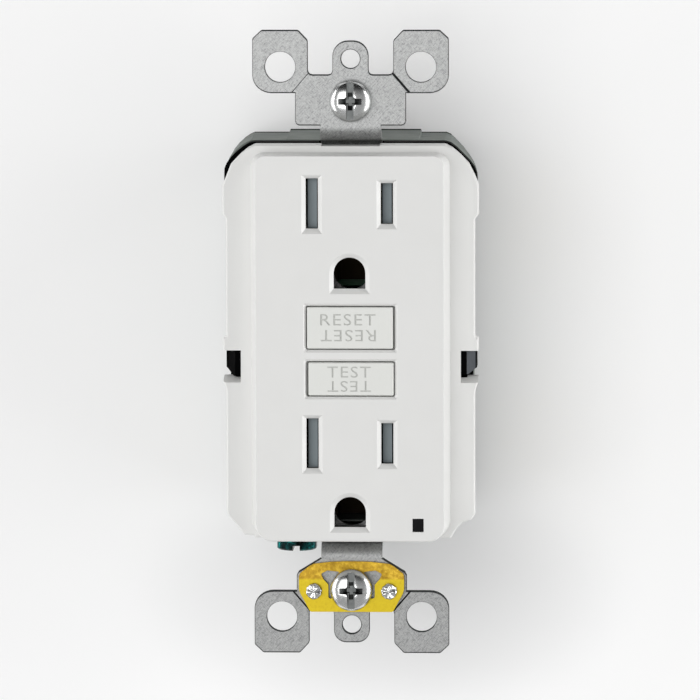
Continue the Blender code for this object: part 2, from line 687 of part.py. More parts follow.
# ---------------------------------------------------------- ground contacts
for where, z in (("upper", GROUND_IN_Z[0]), ("lower", GROUND_IN_Z[1])):
    hat = mirrored([(2.6, 12.7), (2.6, 3.9), (4.4, 3.9), (4.4, 4.6), (3.3, 4.6),
                    (3.3, 13.4)])
    hat = [(2.6, 12.7), (2.6, 3.9), (4.4, 3.9), (4.4, 4.6), (3.3, 4.6),
           (3.3, 13.4), (-3.3, 13.4), (-3.3, 4.6), (-4.4, 4.6), (-4.4, 3.9),
           (-2.6, 3.9), (-2.6, 12.7)]
    sheet("ground_contact_" + where, [hat], "XY", z - 2.4, z + 2.4, BRASS)

# ----------------------------------------------------------------- shutters
for k, (where, zc) in enumerate((("upper", OUTLET_Z[0]), ("lower", OUTLET_Z[1]))):
    for pole, sx, length in (("hot", 1, HOT_L), ("neutral", -1, NEUTRAL_L)):
        wedge = [(4.7, -3.1), (4.7, -5.1), (5.5, -5.1), (8.2, -3.7), (8.2, -3.1)]
        sheet("%s_%s_shutter" % (where, pole), [[(sx * x, y) for x, y in wedge]],
              "XY", zc - length / 2 - 0.8, zc + length / 2 + 0.8, SHUTTER,
              (sx * 6.4, -4.0, zc))
    spring(where + "_shutter_spring", "X", (0, -4.15, zc), 0.75, -4.4, 4.4, 6.0,
           0.3, BRIGHT, 8)
    tray = box(where + "_shutter_tray", -11.5, 11.5, -2.8, -2.0, zc - 5.9, zc + 5.9,
               BLACK)
    cut(tray, *[box("%s_tray_slot_%d" % (where, sx), sx * SLOT_X - 1.6,
                    sx * SLOT_X + 1.6, -4, -1, zc - 4.8, zc + 4.8)
                for sx in (-1, 1)])

# ---------------------------------------------- reset and trip mechanism
lifter = box("lifter", -10.2, 10.2, 10.1, 12.6, 0.2, 6.2, BLACK)
cut(lifter, rod("lifter_bore", "Y", (0, 0, RESET[1]), 1.7, 9, 14, 12))

latch_prof = [(12.9, 7.6), (12.9, -4.1), (9.4, -4.1), (9.4, -4.9), (13.7, -4.9),
              (13.7, 7.6)]
latch_plate = sheet("latch_plate", [latch_prof], "YZ", -3.4, 3.4, BRIGHT)
cut(latch_plate, box("latch_keyhole", -1.45, 1.45, 12, 15, 0.4, 4.65))

for pole, sx in (("hot", 1), ("neutral", -1)):
    prof = [(15.6, -10.6), (9.3, -10.6), (9.3, 6.6), (9.8, 6.6), (9.8, -10.1),
            (15.6, -10.1)]
    arm = sheet(pole + "_moving_arm", [prof], "YZ", *sorted((sx * 7.2, sx * 9.8)),
                BRASS, (sx * 8.5, 15.6, -10.35))
    add(arm, rod(pole + "_arm_contact", "Y", (sx * 8.5, 0, 5.0), 1.1, 8.5, 9.5, 12,
                 BRASS))

SOL_Y = 10.5
bobbin = rod("solenoid_bobbin", "Z", (0, SOL_Y, 0), 3.95, -22.9, -21.9, 20, WHITE)
add(bobbin, rod("bobbin_core", "Z", (0, SOL_Y, 0), 2.25, -22.4, -8.6, 16, WHITE),
    rod("bobbin_front", "Z", (0, SOL_Y, 0), 3.95, -9.1, -8.1, 20, WHITE))
cut(bobbin, rod("bobbin_bore", "Z", (0, SOL_Y, 0), 1.85, -24, -7, 16))
coil = rod("solenoid_coil", "Z", (0, SOL_Y, 0), 3.8, -21.6, -9.4, 20, COPPER)
cut(coil, rod("coil_bore", "Z", (0, SOL_Y, 0), 2.55, -23, -8, 20))
bracket = [(6.4, -24.2), (15.5, -24.2), (15.5, -6.8), (6.4, -6.8), (6.4, -7.8),
           (14.8, -7.8), (14.8, -23.2), (6.4, -23.2)]
solenoid_frame = sheet("solenoid_frame", [bracket], "YZ", -4.0, 4.0, ZINC)
cut(solenoid_frame, rod("bracket_bore", "Z", (0, SOL_Y, 0), 1.85, -9, -5, 16))
plunger = turned("plunger", [(0, 12.0), (1.1, 12.0), (1.5, 11.4), (1.5, 0),
                             (0, 0)], (0, SOL_Y, -17.2), "+Z", 16, ZINC)
plunger_spring = spring("plunger_spring", "Z", (0, SOL_Y, 0), 1.2, -22.9, -17.5,
                        5.0, 0.3, BRIGHT)

# -------------------------------------------------------------- electronics
board_half = [(19.2, 12.8), (19.2, -12.8), (12.1, -12.8), (12.1, -25.4),
              (13.4, -26.2), (13.4, -30.9)]
circuit_board = sheet("circuit_board", [mirrored(board_half)], "XZ", *BOARD_Y,
                      BOARD)
for name, y0, y1, mat in (("sense_transformer", 17.4, 20.3, BLUE),
                          ("neutral_transformer", 20.6, 23.5, BLACK)):
    ring = rod(name, "Y", (0, 0, -12.0), 7.6, y0, y1, 24, mat)
    cut(ring, rod(name + "_bore", "Y", (0, 0, -12.0), 3.6, y0 - 1, y1 + 1, 20))

movistor = rod("movistor", "X", (0, 11.6, 1.0), 3.7, -16.3, -13.7, 20, BLUE)
add(movistor, box("movistor_leads", -15.3, -14.7, 14.0, 15.6, -1.5, 3.5, BLUE))
capacitor = rod("capacitor", "Y", (15.2, 0, -6.6), 2.6, 7.6, 15.6, 18, BLACK)
test_resistor = rod("test_resistor", "Z", (15.2, 14.2, 0), 1.1, 1.8, 8.4, 12, TAN)

indicator_led = rod("indicator_led", "Y", (LED[0], 0, LED[1]), 0.9, -3.9, 0.2, 12,
                    SHUTTER)
for i, dx in enumerate((-0.45, 0.45)):
    add(indicator_led, box("led_lead_%d" % i, LED[0] + dx - 0.2, LED[0] + dx + 0.2,
                           -0.5, 15.6, LED[1] - 0.2, LED[1] + 0.2, BRIGHT))

blade = [(-10.3, 3.6), (-10.3, -0.9), (6.0, -0.9), (6.0, -0.5), (-9.9, -0.5),
         (-9.9, 3.6)]
test_blade = sheet("test_blade", [blade], "XY", TEST[1] - 1.4, TEST[1] + 1.4, BRASS,
                   (-10.1, 3.6, TEST[1]))
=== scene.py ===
# Duplex ground-fault receptacle: looks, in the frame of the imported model.
# Metres, +Z up, the face looks along -Y.  Numbers below are millimetres and
# MM turns them into metres.
import json
import math

import bmesh
import bpy
from mathutils import Matrix, Quaternion, Vector
from mathutils.geometry import delaunay_2d_cdt

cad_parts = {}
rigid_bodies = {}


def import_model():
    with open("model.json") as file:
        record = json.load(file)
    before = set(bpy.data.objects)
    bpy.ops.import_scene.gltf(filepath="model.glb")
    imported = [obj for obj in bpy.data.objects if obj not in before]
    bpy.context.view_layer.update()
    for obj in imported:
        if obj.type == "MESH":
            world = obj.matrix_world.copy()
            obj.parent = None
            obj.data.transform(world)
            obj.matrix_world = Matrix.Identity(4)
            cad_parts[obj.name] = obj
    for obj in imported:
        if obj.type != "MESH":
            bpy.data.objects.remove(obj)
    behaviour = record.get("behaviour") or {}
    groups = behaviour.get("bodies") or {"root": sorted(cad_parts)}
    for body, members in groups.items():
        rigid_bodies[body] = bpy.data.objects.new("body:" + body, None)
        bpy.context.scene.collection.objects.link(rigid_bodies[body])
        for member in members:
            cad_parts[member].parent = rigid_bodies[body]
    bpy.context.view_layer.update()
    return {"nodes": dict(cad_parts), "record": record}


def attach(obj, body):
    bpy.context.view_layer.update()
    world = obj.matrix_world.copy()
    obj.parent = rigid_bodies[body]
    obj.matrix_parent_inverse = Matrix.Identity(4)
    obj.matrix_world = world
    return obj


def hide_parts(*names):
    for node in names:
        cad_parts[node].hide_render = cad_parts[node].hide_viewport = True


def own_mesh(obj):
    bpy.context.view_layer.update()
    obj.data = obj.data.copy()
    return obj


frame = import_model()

MM = 0.001
NODES = frame["nodes"]
for old in list(bpy.data.objects):
    if old.type in ("LIGHT", "CAMERA") or old.name == "Cube":
        bpy.data.objects.remove(old, do_unlink=True)
COLL = bpy.context.scene.collection
BODY = {}
for joint_body, members in frame["record"]["behaviour"]["bodies"].items():
    for member in members:
        BODY[member] = joint_body

# ------------------------------------------------------------ dimensions
FACE_Y, FLANGE_Y, COVER_BACK_Y = -7.4, -3.0, 1.3
STRAP_T = 1.3
EAR_X, EAR_IN, EAR_TOP, EAR_LOW = 16.65, 7.28, 53.3, 42.6
PLATE_X, NECK_X, BAND_X, TAB_X, TAB_TOP = 9.4, 5.2, 4.6, 3.05, 51.5
PLATE_HOLE_Z, PLATE_HOLE_R = 48.42, 1.6
EAR_HOLE = (11.95, 47.05, 2.6)
UP_SCREW_Z, LOW_SCREW_Z = 41.3, -42.2
BEND_Z, BEND_R, BEND_A = 36.95, 1.865, math.radians(88)
BEND_LO = BEND_Z - 2 * BEND_R * math.sin(BEND_A)
BOSS = (17.0, 28.2)
SLOT_X, SLOT_W, HOT_L, NEUTRAL_L = 6.35, 2.05, 6.9, 8.5
OUTLET_Z = (24.3, -16.5)
GROUND = ((9.86, 15.13), (-30.83, -25.69))
GROUND_W = 5.36
GROUND_IN_Z = (12.05, -28.62)
RESET = (0.15, 3.2, 15.1, 7.5)
TEST = (0.15, -5.5, 15.0, 6.05)
LED = (11.56, -30.45, 1.9, 2.3)
TERM_Z, TERM_Y = 19.0, 12.0

# ------------------------------------------------------------- materials


class Nodes:
    """Small helper that builds one material's node tree."""

    def __init__(self, name):
        self.mat = bpy.data.materials.new(name)
        self.mat.use_nodes = True
        self.tree = self.mat.node_tree
        self.tree.nodes.clear()
        self.out = self.add("ShaderNodeOutputMaterial")
        self.bsdf = self.add("ShaderNodeBsdfPrincipled")
        self.join(self.bsdf.outputs[0], self.out.inputs["Surface"])
        self.where = self.add("ShaderNodeTexCoord").outputs["Object"]

    def add(self, kind, **props):
        n = self.tree.nodes.new(kind)
        for k, v in props.items():
            setattr(n, k, v)
        return n

    def join(self, a, b):
        self.tree.links.new(a, b)

    def set(self, **values):
        for k, v in values.items():
            self.bsdf.inputs[k.replace("_", " ")].default_value = v

    def stretched(self, sx, sy, sz, turn=(0, 0, 0)):
        m = self.add("ShaderNodeMapping")
        if any(turn):
            m.vector_type = "TEXTURE"
            sx, sy, sz = 1 / sx, 1 / sy, 1 / sz
        m.inputs["Scale"].default_value = (sx, sy, sz)
        m.inputs["Rotation"].default_value = turn
        self.join(self.where, m.inputs["Vector"])
        return m.outputs[0]

    def noise(self, per_mm, detail=3.0, rough=0.55, vec=None, distort=0.0):
        n = self.add("ShaderNodeTexNoise")
        n.inputs["Scale"].default_value = per_mm * 1000
        n.inputs["Detail"].default_value = detail
        n.inputs["Roughness"].default_value = rough
        n.inputs["Distortion"].default_value = distort
        self.join(vec or self.where, n.inputs["Vector"])
        return n.outputs["Fac"]

    def cells(self, per_mm, feature="F1", out="Distance", vec=None):
        n = self.add("ShaderNodeTexVoronoi", feature=feature)
        n.inputs["Scale"].default_value = per_mm * 1000
        self.join(vec or self.where, n.inputs["Vector"])
        return n.outputs[out]

    def ramp(self, fac, stops):
        r = self.add("ShaderNodeValToRGB")
        el = r.color_ramp.elements
        while len(el) < len(stops):
            el.new(0.5)
        for e, (at, col) in zip(el, stops):
            e.position = at
            e.color = (*col, 1.0) if len(col) == 3 else col
        self.join(fac, r.inputs[0])
        return r.outputs[0]

    def mix(self, fac, a, b, mode="MIX"):
        m = self.add("ShaderNodeMix", data_type="RGBA", blend_type=mode)
        for sock, v in ((m.inputs[0], fac), (m.inputs[6], a), (m.inputs[7], b)):
            if isinstance(v, (int, float)):
                sock.default_value = v
            elif isinstance(v, tuple):
                sock.default_value = (*v, 1.0)
            else:
                self.join(v, sock)
        return m.outputs[2]

    def span(self, value, lo, hi, a=0.0, b=1.0, smooth=False):
        m = self.add("ShaderNodeMapRange", clamp=True)
        if smooth:
            m.interpolation_type = "SMOOTHSTEP"
        for k, v in (("From Min", lo), ("From Max", hi), ("To Min", a), ("To Max", b)):
            m.inputs[k].default_value = v
        self.join(value, m.inputs["Value"])
        return m.outputs["Result"]

    def axis(self, name):
        s = self.add("ShaderNodeSeparateXYZ")
        self.join(self.where, s.inputs[0])
        return s.outputs[name]

    def math(self, op, a, b):
        m = self.add("ShaderNodeMath", operation=op)
        for sock, v in zip(m.inputs, (a, b)):
            if isinstance(v, (int, float)):
                sock.default_value = v
            else:
                self.join(v, sock)
        return m.outputs[0]

    def colour(self, c):
        self.join(c, self.bsdf.inputs["Base Color"])

    def rough(self, r):
        self.join(r, self.bsdf.inputs["Roughness"])

    def bump(self, height, depth_mm, strength=1.0):
        b = self.add("ShaderNodeBump")
        b.inputs["Strength"].default_value = strength
        b.inputs["Distance"].default_value = depth_mm * MM
        self.join(height, b.inputs["Height"])
        self.join(b.outputs[0], self.bsdf.inputs["Normal"])


def shades(base, spread):
    """Two tints of one linear colour, darker and lighter."""
    return (tuple(c * (1 - spread) for c in base),
            tuple(min(1.0, c * (1 + spread)) for c in base))


def plastic(name, base, spread=0.03, rough=(0.34, 0.46), grain=5.0, depth=0.004,
            ior=1.5, spec=0.5):
    """Moulded plastic: faint flow clouding, fine spark texture, uneven gloss."""
    n = Nodes(name)
    cloud = n.noise(0.07, 4.0, 0.6)
    fine = n.noise(grain, 2.0)
    lo, hi = shades(base, spread)
    tint = n.ramp(cloud, [(0.3, lo), (0.5, base), (0.7, hi)])
    lo2, hi2 = shades((1.0, 1.0, 1.0), spread * 0.6)
    n.colour(n.mix(1.0, tint, n.ramp(fine, [(0.35, lo2), (0.65, (1, 1, 1))]),
                   "MULTIPLY"))
    n.rough(n.span(n.noise(0.3, 3.0), 0.3, 0.7, *rough))
    n.bump(fine, depth)
    n.set(IOR=ior, Specular_IOR_Level=spec)
    return n.mat


def galvanised(name, base=(0.60, 0.61, 0.605), rough=(0.38, 0.56), metallic=0.85,
               fleck=0.16, hatch=0.55, spec=0.5, foot=1.0):
    """Zinc-coated sheet: small flecks, crossed fine streaks and dull patches; a foot below one adds painted
    shade, darker towards the bottom.
    """
    n = Nodes(name)
    fleck1 = n.noise(2.6, 4.0, 0.75)
    fleck2 = n.noise(6.0, 2.0, 0.6)
    s1 = n.noise(1.0, 3.0, 0.7, n.stretched(5200, 1500, 900, (0, math.radians(42), 0)))
    s2 = n.noise(1.0, 3.0, 0.7, n.stretched(5600, 1500, 900, (0, math.radians(-47), 0)))
    s1.node.inputs["Scale"].default_value = 1.0
    s2.node.inputs["Scale"].default_value = 1.0
    patch = n.cells(0.55, "F1", "Color")
    lo, hi = shades(base, fleck)
    c = n.ramp(fleck1, [(0.34, lo), (0.5, base), (0.66, hi)])
    c = n.mix(hatch, c, n.ramp(s1, [(0.36, (0.45, 0.45, 0.46)), (0.5, (1, 1, 1)),
                                    (0.66, (1, 1, 1))]), "MULTIPLY")
    c = n.mix(hatch, c, n.ramp(s2, [(0.35, (0.5, 0.51, 0.51)), (0.5, (1, 1, 1)),
                                    (0.7, (0.92, 0.92, 0.93))]), "MULTIPLY")
    c = n.mix(0.5, c, n.ramp(fleck2, [(0.36, (0.6, 0.6, 0.61)), (0.52, (1, 1, 1))]),
              "MULTIPLY")
    bright = n.add("ShaderNodeRGBToBW")
    n.join(patch, bright.inputs[0])
    c = n.mix(0.12, c, n.ramp(bright.outputs[0], [(0.2, (0.8, 0.8, 0.81)),
                                                  (0.8, (1, 1, 1))]), "MULTIPLY")
    # painted shade: the colour is multiplied down to foot at the bottom and stays whole at the top
    shade_height = n.span(n.axis("Z"), -40 * MM, 40 * MM, 0.0, 1.0)
    c = n.mix(1.0, c, n.ramp(shade_height, [(0.0, (foot, foot, foot)), (1.0, (1, 1, 1))]),
              "MULTIPLY")
    n.colour(c)
    n.rough(n.span(fleck1, 0.3, 0.7, *rough))
    n.bump(n.math("ADD", fleck1, n.math("ADD", s1, s2)), 0.02, 1.0)
    n.set(Metallic=metallic, Specular_IOR_Level=spec)
    return n.mat


def plated(name, base=(0.86, 0.87, 0.88), rough=(0.12, 0.3), depth=0.004):
    """Bright zinc plate on a small turned or headed part."""
    n = Nodes(name)
    a = n.noise(0.9, 4.0, 0.6)
    lo, hi = shades(base, 0.08)
    n.colour(n.ramp(a, [(0.25, lo), (0.5, base), (0.75, hi)]))
    n.rough(n.span(n.noise(1.6, 3.0, 0.65), 0.3, 0.7, *rough))
    n.bump(n.noise(2.2, 3.0), depth)
    n.set(Metallic=1.0)
    return n.mat


def brass(name, base, lo_z=None, fold=None, rough=(0.25, 0.42), spread=0.08):
    """Rolled brass: length-wise rolling lines, tarnish clouds and dull spots."""
    n = Nodes(name)
    cloud = n.noise(0.16, 5.0, 0.6)
    lines = n.noise(1.0, 3.0, 0.6, n.stretched(0.35, 2.0, 5.0))
    spots = n.noise(1.8, 3.0, 0.7)
    lo, hi = shades(base, spread)
    c = n.ramp(cloud, [(0.28, lo), (0.5, base), (0.72, hi)])
    c = n.mix(0.5, c, n.ramp(lines, [(0.3, (0.84, 0.83, 0.80)), (0.6, (1, 1, 1))]),
              "MULTIPLY")
    c = n.mix(0.4, c, n.ramp(spots, [(0.33, (0.72, 0.66, 0.58)), (0.5, (1, 1, 1))]),
              "MULTIPLY")
    if fold is not None:
        z0, z1, shade = fold
        f = n.span(n.axis("Z"), z0 * MM, z1 * MM, 0.0, 1.0, True)
        dark = n.mix(n.ramp(n.noise(0.9, 4.0, 0.7), [(0.35, (0, 0, 0)),
                                                     (0.65, (1, 1, 1))]),
                     tuple(0.62 * s for s in shade), shade)
        c = n.mix(f, c, dark)
    n.colour(c)
    n.rough(n.span(cloud, 0.3, 0.7, *rough))
    n.bump(n.math("ADD", lines, n.math("MULTIPLY", spots, 0.5)), 0.006, 0.7)
    n.set(Metallic=1.0)
    return n.mat


def winding(name, base, per_mm=3.3, axis="Z"):
    """Enamelled magnet wire laid turn by turn, with painted shade between the turns and a painted highlight
    on their crowns.
    """
    n = Nodes(name)
    w = n.add("ShaderNodeTexWave", wave_type="BANDS", bands_direction=axis)
    w.inputs["Scale"].default_value = per_mm * 1000 / 6.283 * 1.0
    w.inputs["Distortion"].default_value = 0.4
    n.join(n.where, w.inputs["Vector"])
    lo, hi = shades(base, 0.35)
    # painted shade in the valleys between turns and painted highlight on their crowns
    n.colour(n.ramp(w.outputs["Fac"], [(0.1, lo), (0.7, base), (0.95, hi)]))
    n.rough(n.span(n.noise(0.8), 0.3, 0.7, 0.25, 0.42))
    n.bump(w.outputs["Fac"], 0.06)
    n.set(Metallic=0.9)
    return n.mat


WHITE = plastic("white_moulding", (0.742, 0.742, 0.728), 0.012, (0.30, 0.40), 6.0,
                0.003)
BUTTON = plastic("button_moulding", (0.735, 0.742, 0.712), 0.012, (0.30, 0.42), 6.0,
                 0.003)
GREY = plastic("grey_moulding", (0.185, 0.207, 0.190), 0.10, (0.5, 0.66), 3.0, 0.012,
               spec=0.2)
# near-black copy of the grey moulding for the housing's back edges: painted shade
RIM_SHADE = plastic("grey_moulding_painted_rim_shade", (0.030, 0.034, 0.032), 0.12, (0.7, 0.85), 3.0,
                   0.012, spec=0.0)
# real black moulding, also used as painted shade on the cover's slot and hole walls and in the shutter
# grooves
BLACK_AND_SHADE = plastic("black_moulding_and_painted_shade", (0.0016, 0.0016, 0.0018), 0.25, (0.5, 0.65), 3.0,
                0.008, spec=0.01)
# a lighter copy of the black moulding: painted light on the right latch's outward face
PAINTED_LIT_BLACK = plastic("black_moulding_painted_lit", (0.060, 0.066, 0.075), 0.15, (0.45, 0.6), 3.0, 0.008,
                spec=0.15)
SHUTTER = plastic("shutter_moulding", (0.30, 0.35, 0.37), 0.05, (0.5, 0.62), 4.0,
                  0.004, spec=0.3)
# darker grey for the floors of the sunk letters: painted shade
LETTER_SHADE = plastic("button_letter_painted_shade", (0.585, 0.592, 0.566), 0.02, (0.45, 0.6), 6.0,
                 0.004)
SMOKE = plastic("smoked_window", (0.004, 0.004, 0.005), 0.3, (0.2, 0.3), 4.0, 0.002,
                spec=0.06)
FIBRE = plastic("fibre_board", (0.42, 0.26, 0.15), 0.16, (0.75, 0.9), 4.0, 0.02)
BLUE = plastic("blue_epoxy_coat", (0.05, 0.12, 0.42), 0.14, (0.22, 0.4), 1.2, 0.02)
TAN = plastic("tan_ceramic", (0.55, 0.42, 0.26), 0.1, (0.4, 0.55), 3.0, 0.01)
NYLON = plastic("natural_nylon", (0.62, 0.60, 0.52), 0.06, (0.35, 0.5), 3.0, 0.01)
BOARD = plastic("solder_mask", (0.02, 0.13, 0.05), 0.18, (0.25, 0.4), 2.0, 0.01)
# the strap's sheet gets painted shade towards its lower end
ZINC = galvanised("galvanised_sheet", (0.475, 0.48, 0.475), fleck=0.15, hatch=0.62,
                  foot=0.82)
# near-black steel for the strap's cut edges and front ledge: bare cut steel, darkened further as painted
# shade
SHEARED_EDGE_SHADE = galvanised("sheared_edge_painted_shade", (0.045, 0.047, 0.047), (0.6, 0.75), 0.0,
                     0.3, spec=0.1)
BRIGHT = plated("bright_plate", (0.74, 0.75, 0.745), (0.18, 0.28), 0.002)
# dark copy of the plate for the driver recesses: painted shade
RECESS_SHADE = plated("plate_painted_recess_shade", (0.11, 0.115, 0.114), (0.26, 0.42), 0.008)
DULL = plated("dull_plate", (0.60, 0.60, 0.59), (0.28, 0.45), 0.008)
BRASS = brass("rolled_brass", (0.72, 0.50, 0.10))
COPPER = winding("enamelled_copper", (0.55, 0.2, 0.06))

n = Nodes("clip_brass")
cloud = n.noise(0.22, 4.0, 0.6)
spots = n.noise(2.2, 3.0, 0.7)
lines = n.noise(1.0, 3.0, 0.6, n.stretched(4.5, 1.0, 0.5, (0, math.radians(20), 0)))
c = n.ramp(cloud, [(0.3, (0.45, 0.33, 0.010)), (0.5, (0.53, 0.40, 0.015)),
                   (0.7, (0.60, 0.46, 0.028))])
c = n.mix(0.3, c, n.ramp(lines, [(0.35, (0.86, 0.82, 0.7)), (0.55, (1, 1, 1))]),
          "MULTIPLY")
c = n.mix(0.35, c, n.ramp(spots, [(0.32, (0.7, 0.62, 0.45)), (0.48, (1, 1, 1))]),
          "MULTIPLY")
# above the fold line the clip's tilted-back upper part is painted a darker brown as shade
fold = n.span(n.axis("Z"), -40.75 * MM, -40.2 * MM, 0.0, 1.0, True)
fold_shade = n.ramp(n.noise(1.1, 4.0, 0.75), [(0.34, (0.26, 0.15, 0.008)),
                                        (0.5, (0.38, 0.23, 0.014)),
                                        (0.64, (0.56, 0.37, 0.035))])
n.colour(n.mix(fold, c, fold_shade))
n.rough(n.span(cloud, 0.3, 0.7, 0.30, 0.46))
n.bump(n.math("ADD", lines, n.math("MULTIPLY", spots, 0.5)), 0.008, 0.7)
n.set(Metallic=0.75)
CLIP = n.mat

# green screw: its own teal, darkened as painted shade under the cover, with noise blotches of painted
# reflection, near-black and bright
n = Nodes("teal_plate_painted_shade")
reflection_blot = n.noise(0.55, 3.0, 0.6, distort=0.6)
c = n.ramp(reflection_blot, [(0.42, (0.0, 0.006, 0.006)), (0.54, (0.001, 0.04, 0.04)),
                  (0.68, (0.004, 0.17, 0.16))])
n.colour(n.mix(0.4, c, n.ramp(n.noise(3.0, 3.0), [(0.3, (0.6, 0.7, 0.7)),
                                                  (0.6, (1, 1, 1))]), "MULTIPLY"))
n.rough(n.span(n.noise(1.2, 3.0), 0.3, 0.7, 0.16, 0.34))
n.bump(n.noise(1.6, 3.0), 0.02)
n.set(Metallic=0.85)
TEAL_AND_SHADE = n.mat

FINISH = {
    "white_plastic": WHITE, "grey_plastic": GREY, "black_plastic": BLACK_AND_SHADE,
    "shutter_plastic": SHUTTER, "smoked_lens": SMOKE, "galvanised_steel": ZINC,
    "bright_zinc": BRIGHT, "brass_sheet": BRASS, "copper_winding": COPPER,
    "green_screw": TEAL_AND_SHADE, "board_green": BOARD, "fibre_washer": FIBRE,
    "blue_epoxy": BLUE, "tan_body": TAN,
}
# near-black bronze for the ground contacts seen through the ground holes: painted shade
CONTACT_SHADE = brass("bronze_painted_shade", (0.035, 0.026, 0.017), rough=(0.5, 0.7))
OWN = {"solenoid_bobbin": NYLON, "solenoid_frame": DULL, "plunger": DULL,
       "latch_plate": DULL, "ground_contact_upper": CONTACT_SHADE,
       "ground_contact_lower": CONTACT_SHADE}

# --------------------------------------------------------------- helpers


def new_mesh(bm, name):
    bmesh.ops.recalc_face_normals(bm, faces=bm.faces)
    mesh = bpy.data.meshes.new(name)
    bm.to_mesh(mesh)
    bm.free()
    return mesh


def tidy(mesh, angle=0.15, merge=2e-7):
    bm = bmesh.new()
    bm.from_mesh(mesh)
    bmesh.ops.remove_doubles(bm, verts=bm.verts, dist=merge)
    bmesh.ops.dissolve_limit(bm, angle_limit=math.radians(angle), verts=bm.verts,
                             edges=bm.edges, use_dissolve_boundaries=False)
    bmesh.ops.recalc_face_normals(bm, faces=bm.faces)
    bm.to_mesh(mesh)
    bm.free()
    return mesh


def ease(mesh, width, angle=30, seg=2, where=None):
    """Round the corners of a mesh that are sharper than an angle."""
    bm = bmesh.new()
    bm.from_mesh(mesh)
    lim = math.radians(angle)
    edges = []
    for e in bm.edges:
        if len(e.link_faces) != 2 or e.calc_face_angle(0) < lim:
            continue
        if where is not None:
            a, b = e.verts[0].co / MM, e.verts[1].co / MM
            if not (where(a) and where(b)):
                continue
        edges.append(e)
    if edges:
        bmesh.ops.bevel(bm, geom=edges, offset=width * MM, segments=seg,
                        profile=0.5, affect="EDGES", clamp_overlap=True,
                        miter_outer="ARC" if seg > 1 else "SHARP")
    bmesh.ops.remove_doubles(bm, verts=bm.verts, dist=1e-7)
    bmesh.ops.recalc_face_normals(bm, faces=bm.faces)
    bm.to_mesh(mesh)
    bm.free()
    return mesh


PLANES = {
    "XZ": Matrix(((1, 0, 0, 0), (0, 0, -1, 0), (0, 1, 0, 0), (0, 0, 0, 1))),
    "YZ": Matrix(((0, 0, 1, 0), (1, 0, 0, 0), (0, 1, 0, 0), (0, 0, 0, 1))),
    "XY": Matrix.Identity(4),
}


def sheet_mesh(name, loops, plane, t0, t1):
    """Flat outline with holes, from t0 to t1 across its plane."""
    cu = bpy.data.curves.new(name + "_outline", "CURVE")
    cu.dimensions = "2D"
    cu.fill_mode = "BOTH"
    cu.extrude = (t1 - t0) / 2 * MM
    for loop in loops:
        sp = cu.splines.new("POLY")
        sp.points.add(len(loop) - 1)
        for p, (a, b) in zip(sp.points, loop):
            p.co = (a * MM, b * MM, 0.0, 1.0)
        sp.use_cyclic_u = True
    tmp = bpy.data.objects.new(name + "_curve", cu)
    COLL.objects.link(tmp)
    m = PLANES[plane].copy()
    mid = (t0 + t1) / 2 * MM
    m.translation = {"XZ": (0, mid, 0), "YZ": (mid, 0, 0), "XY": (0, 0, mid)}[plane]
    tmp.matrix_world = m
    bpy.context.view_layer.update()
    deps = bpy.context.evaluated_depsgraph_get()
    mesh = bpy.data.meshes.new_from_object(tmp.evaluated_get(deps))
    mesh.transform(m)
    bpy.data.objects.remove(tmp, do_unlink=True)
    mesh.materials.clear()
    return tidy(mesh, 0.1, 1e-7)


def loft(name, rings, plane="XZ"):
    """Closed skin through rings of equal count: [(t, [(a, b), ...]), ...]."""
    bm = bmesh.new()
    rows = []
    for t, loop in rings:
        if plane == "XZ":
            rows.append([bm.verts.new((a * MM, t * MM, b * MM)) for a, b in loop])
        elif plane == "YZ":
            rows.append([bm.verts.new((t * MM, a * MM, b * MM)) for a, b in loop])
        else:
            rows.append([bm.verts.new((a * MM, b * MM, t * MM)) for a, b in loop])
    k = len(rows[0])
    for a, b in zip(rows, rows[1:]):
        for i in range(k):
            bm.faces.new((a[i], a[(i + 1) % k], b[(i + 1) % k], b[i]))
    bm.faces.new(rows[0])
    bm.faces.new(list(reversed(rows[-1])))
    return new_mesh(bm, name)


def block(name, x0, x1, y0, y1, z0, z1):
    return loft(name, [(y0, [(x0, z0), (x1, z0), (x1, z1), (x0, z1)]),
                       (y1, [(x0, z0), (x1, z0), (x1, z1), (x0, z1)])])


def soft_block(name, x0, x1, y0, y1, z0, z1, r, seg=2):
    return ease(block(name, x0, x1, y0, y1, z0, z1), r, 30, seg)


TURN = {"-Y": Matrix.Rotation(math.radians(90), 4, "X"),
        "+Y": Matrix.Rotation(math.radians(-90), 4, "X"),
        "+X": Matrix.Rotation(math.radians(90), 4, "Y"),
        "-X": Matrix.Rotation(math.radians(-90), 4, "Y"),
        "-Z": Matrix.Rotation(math.radians(180), 4, "X"),
        "+Z": Matrix.Identity(4)}


def put(mesh, origin, direction):
    mesh.transform(Matrix.Translation(Vector(origin) * MM) @ TURN[direction])
    return mesh


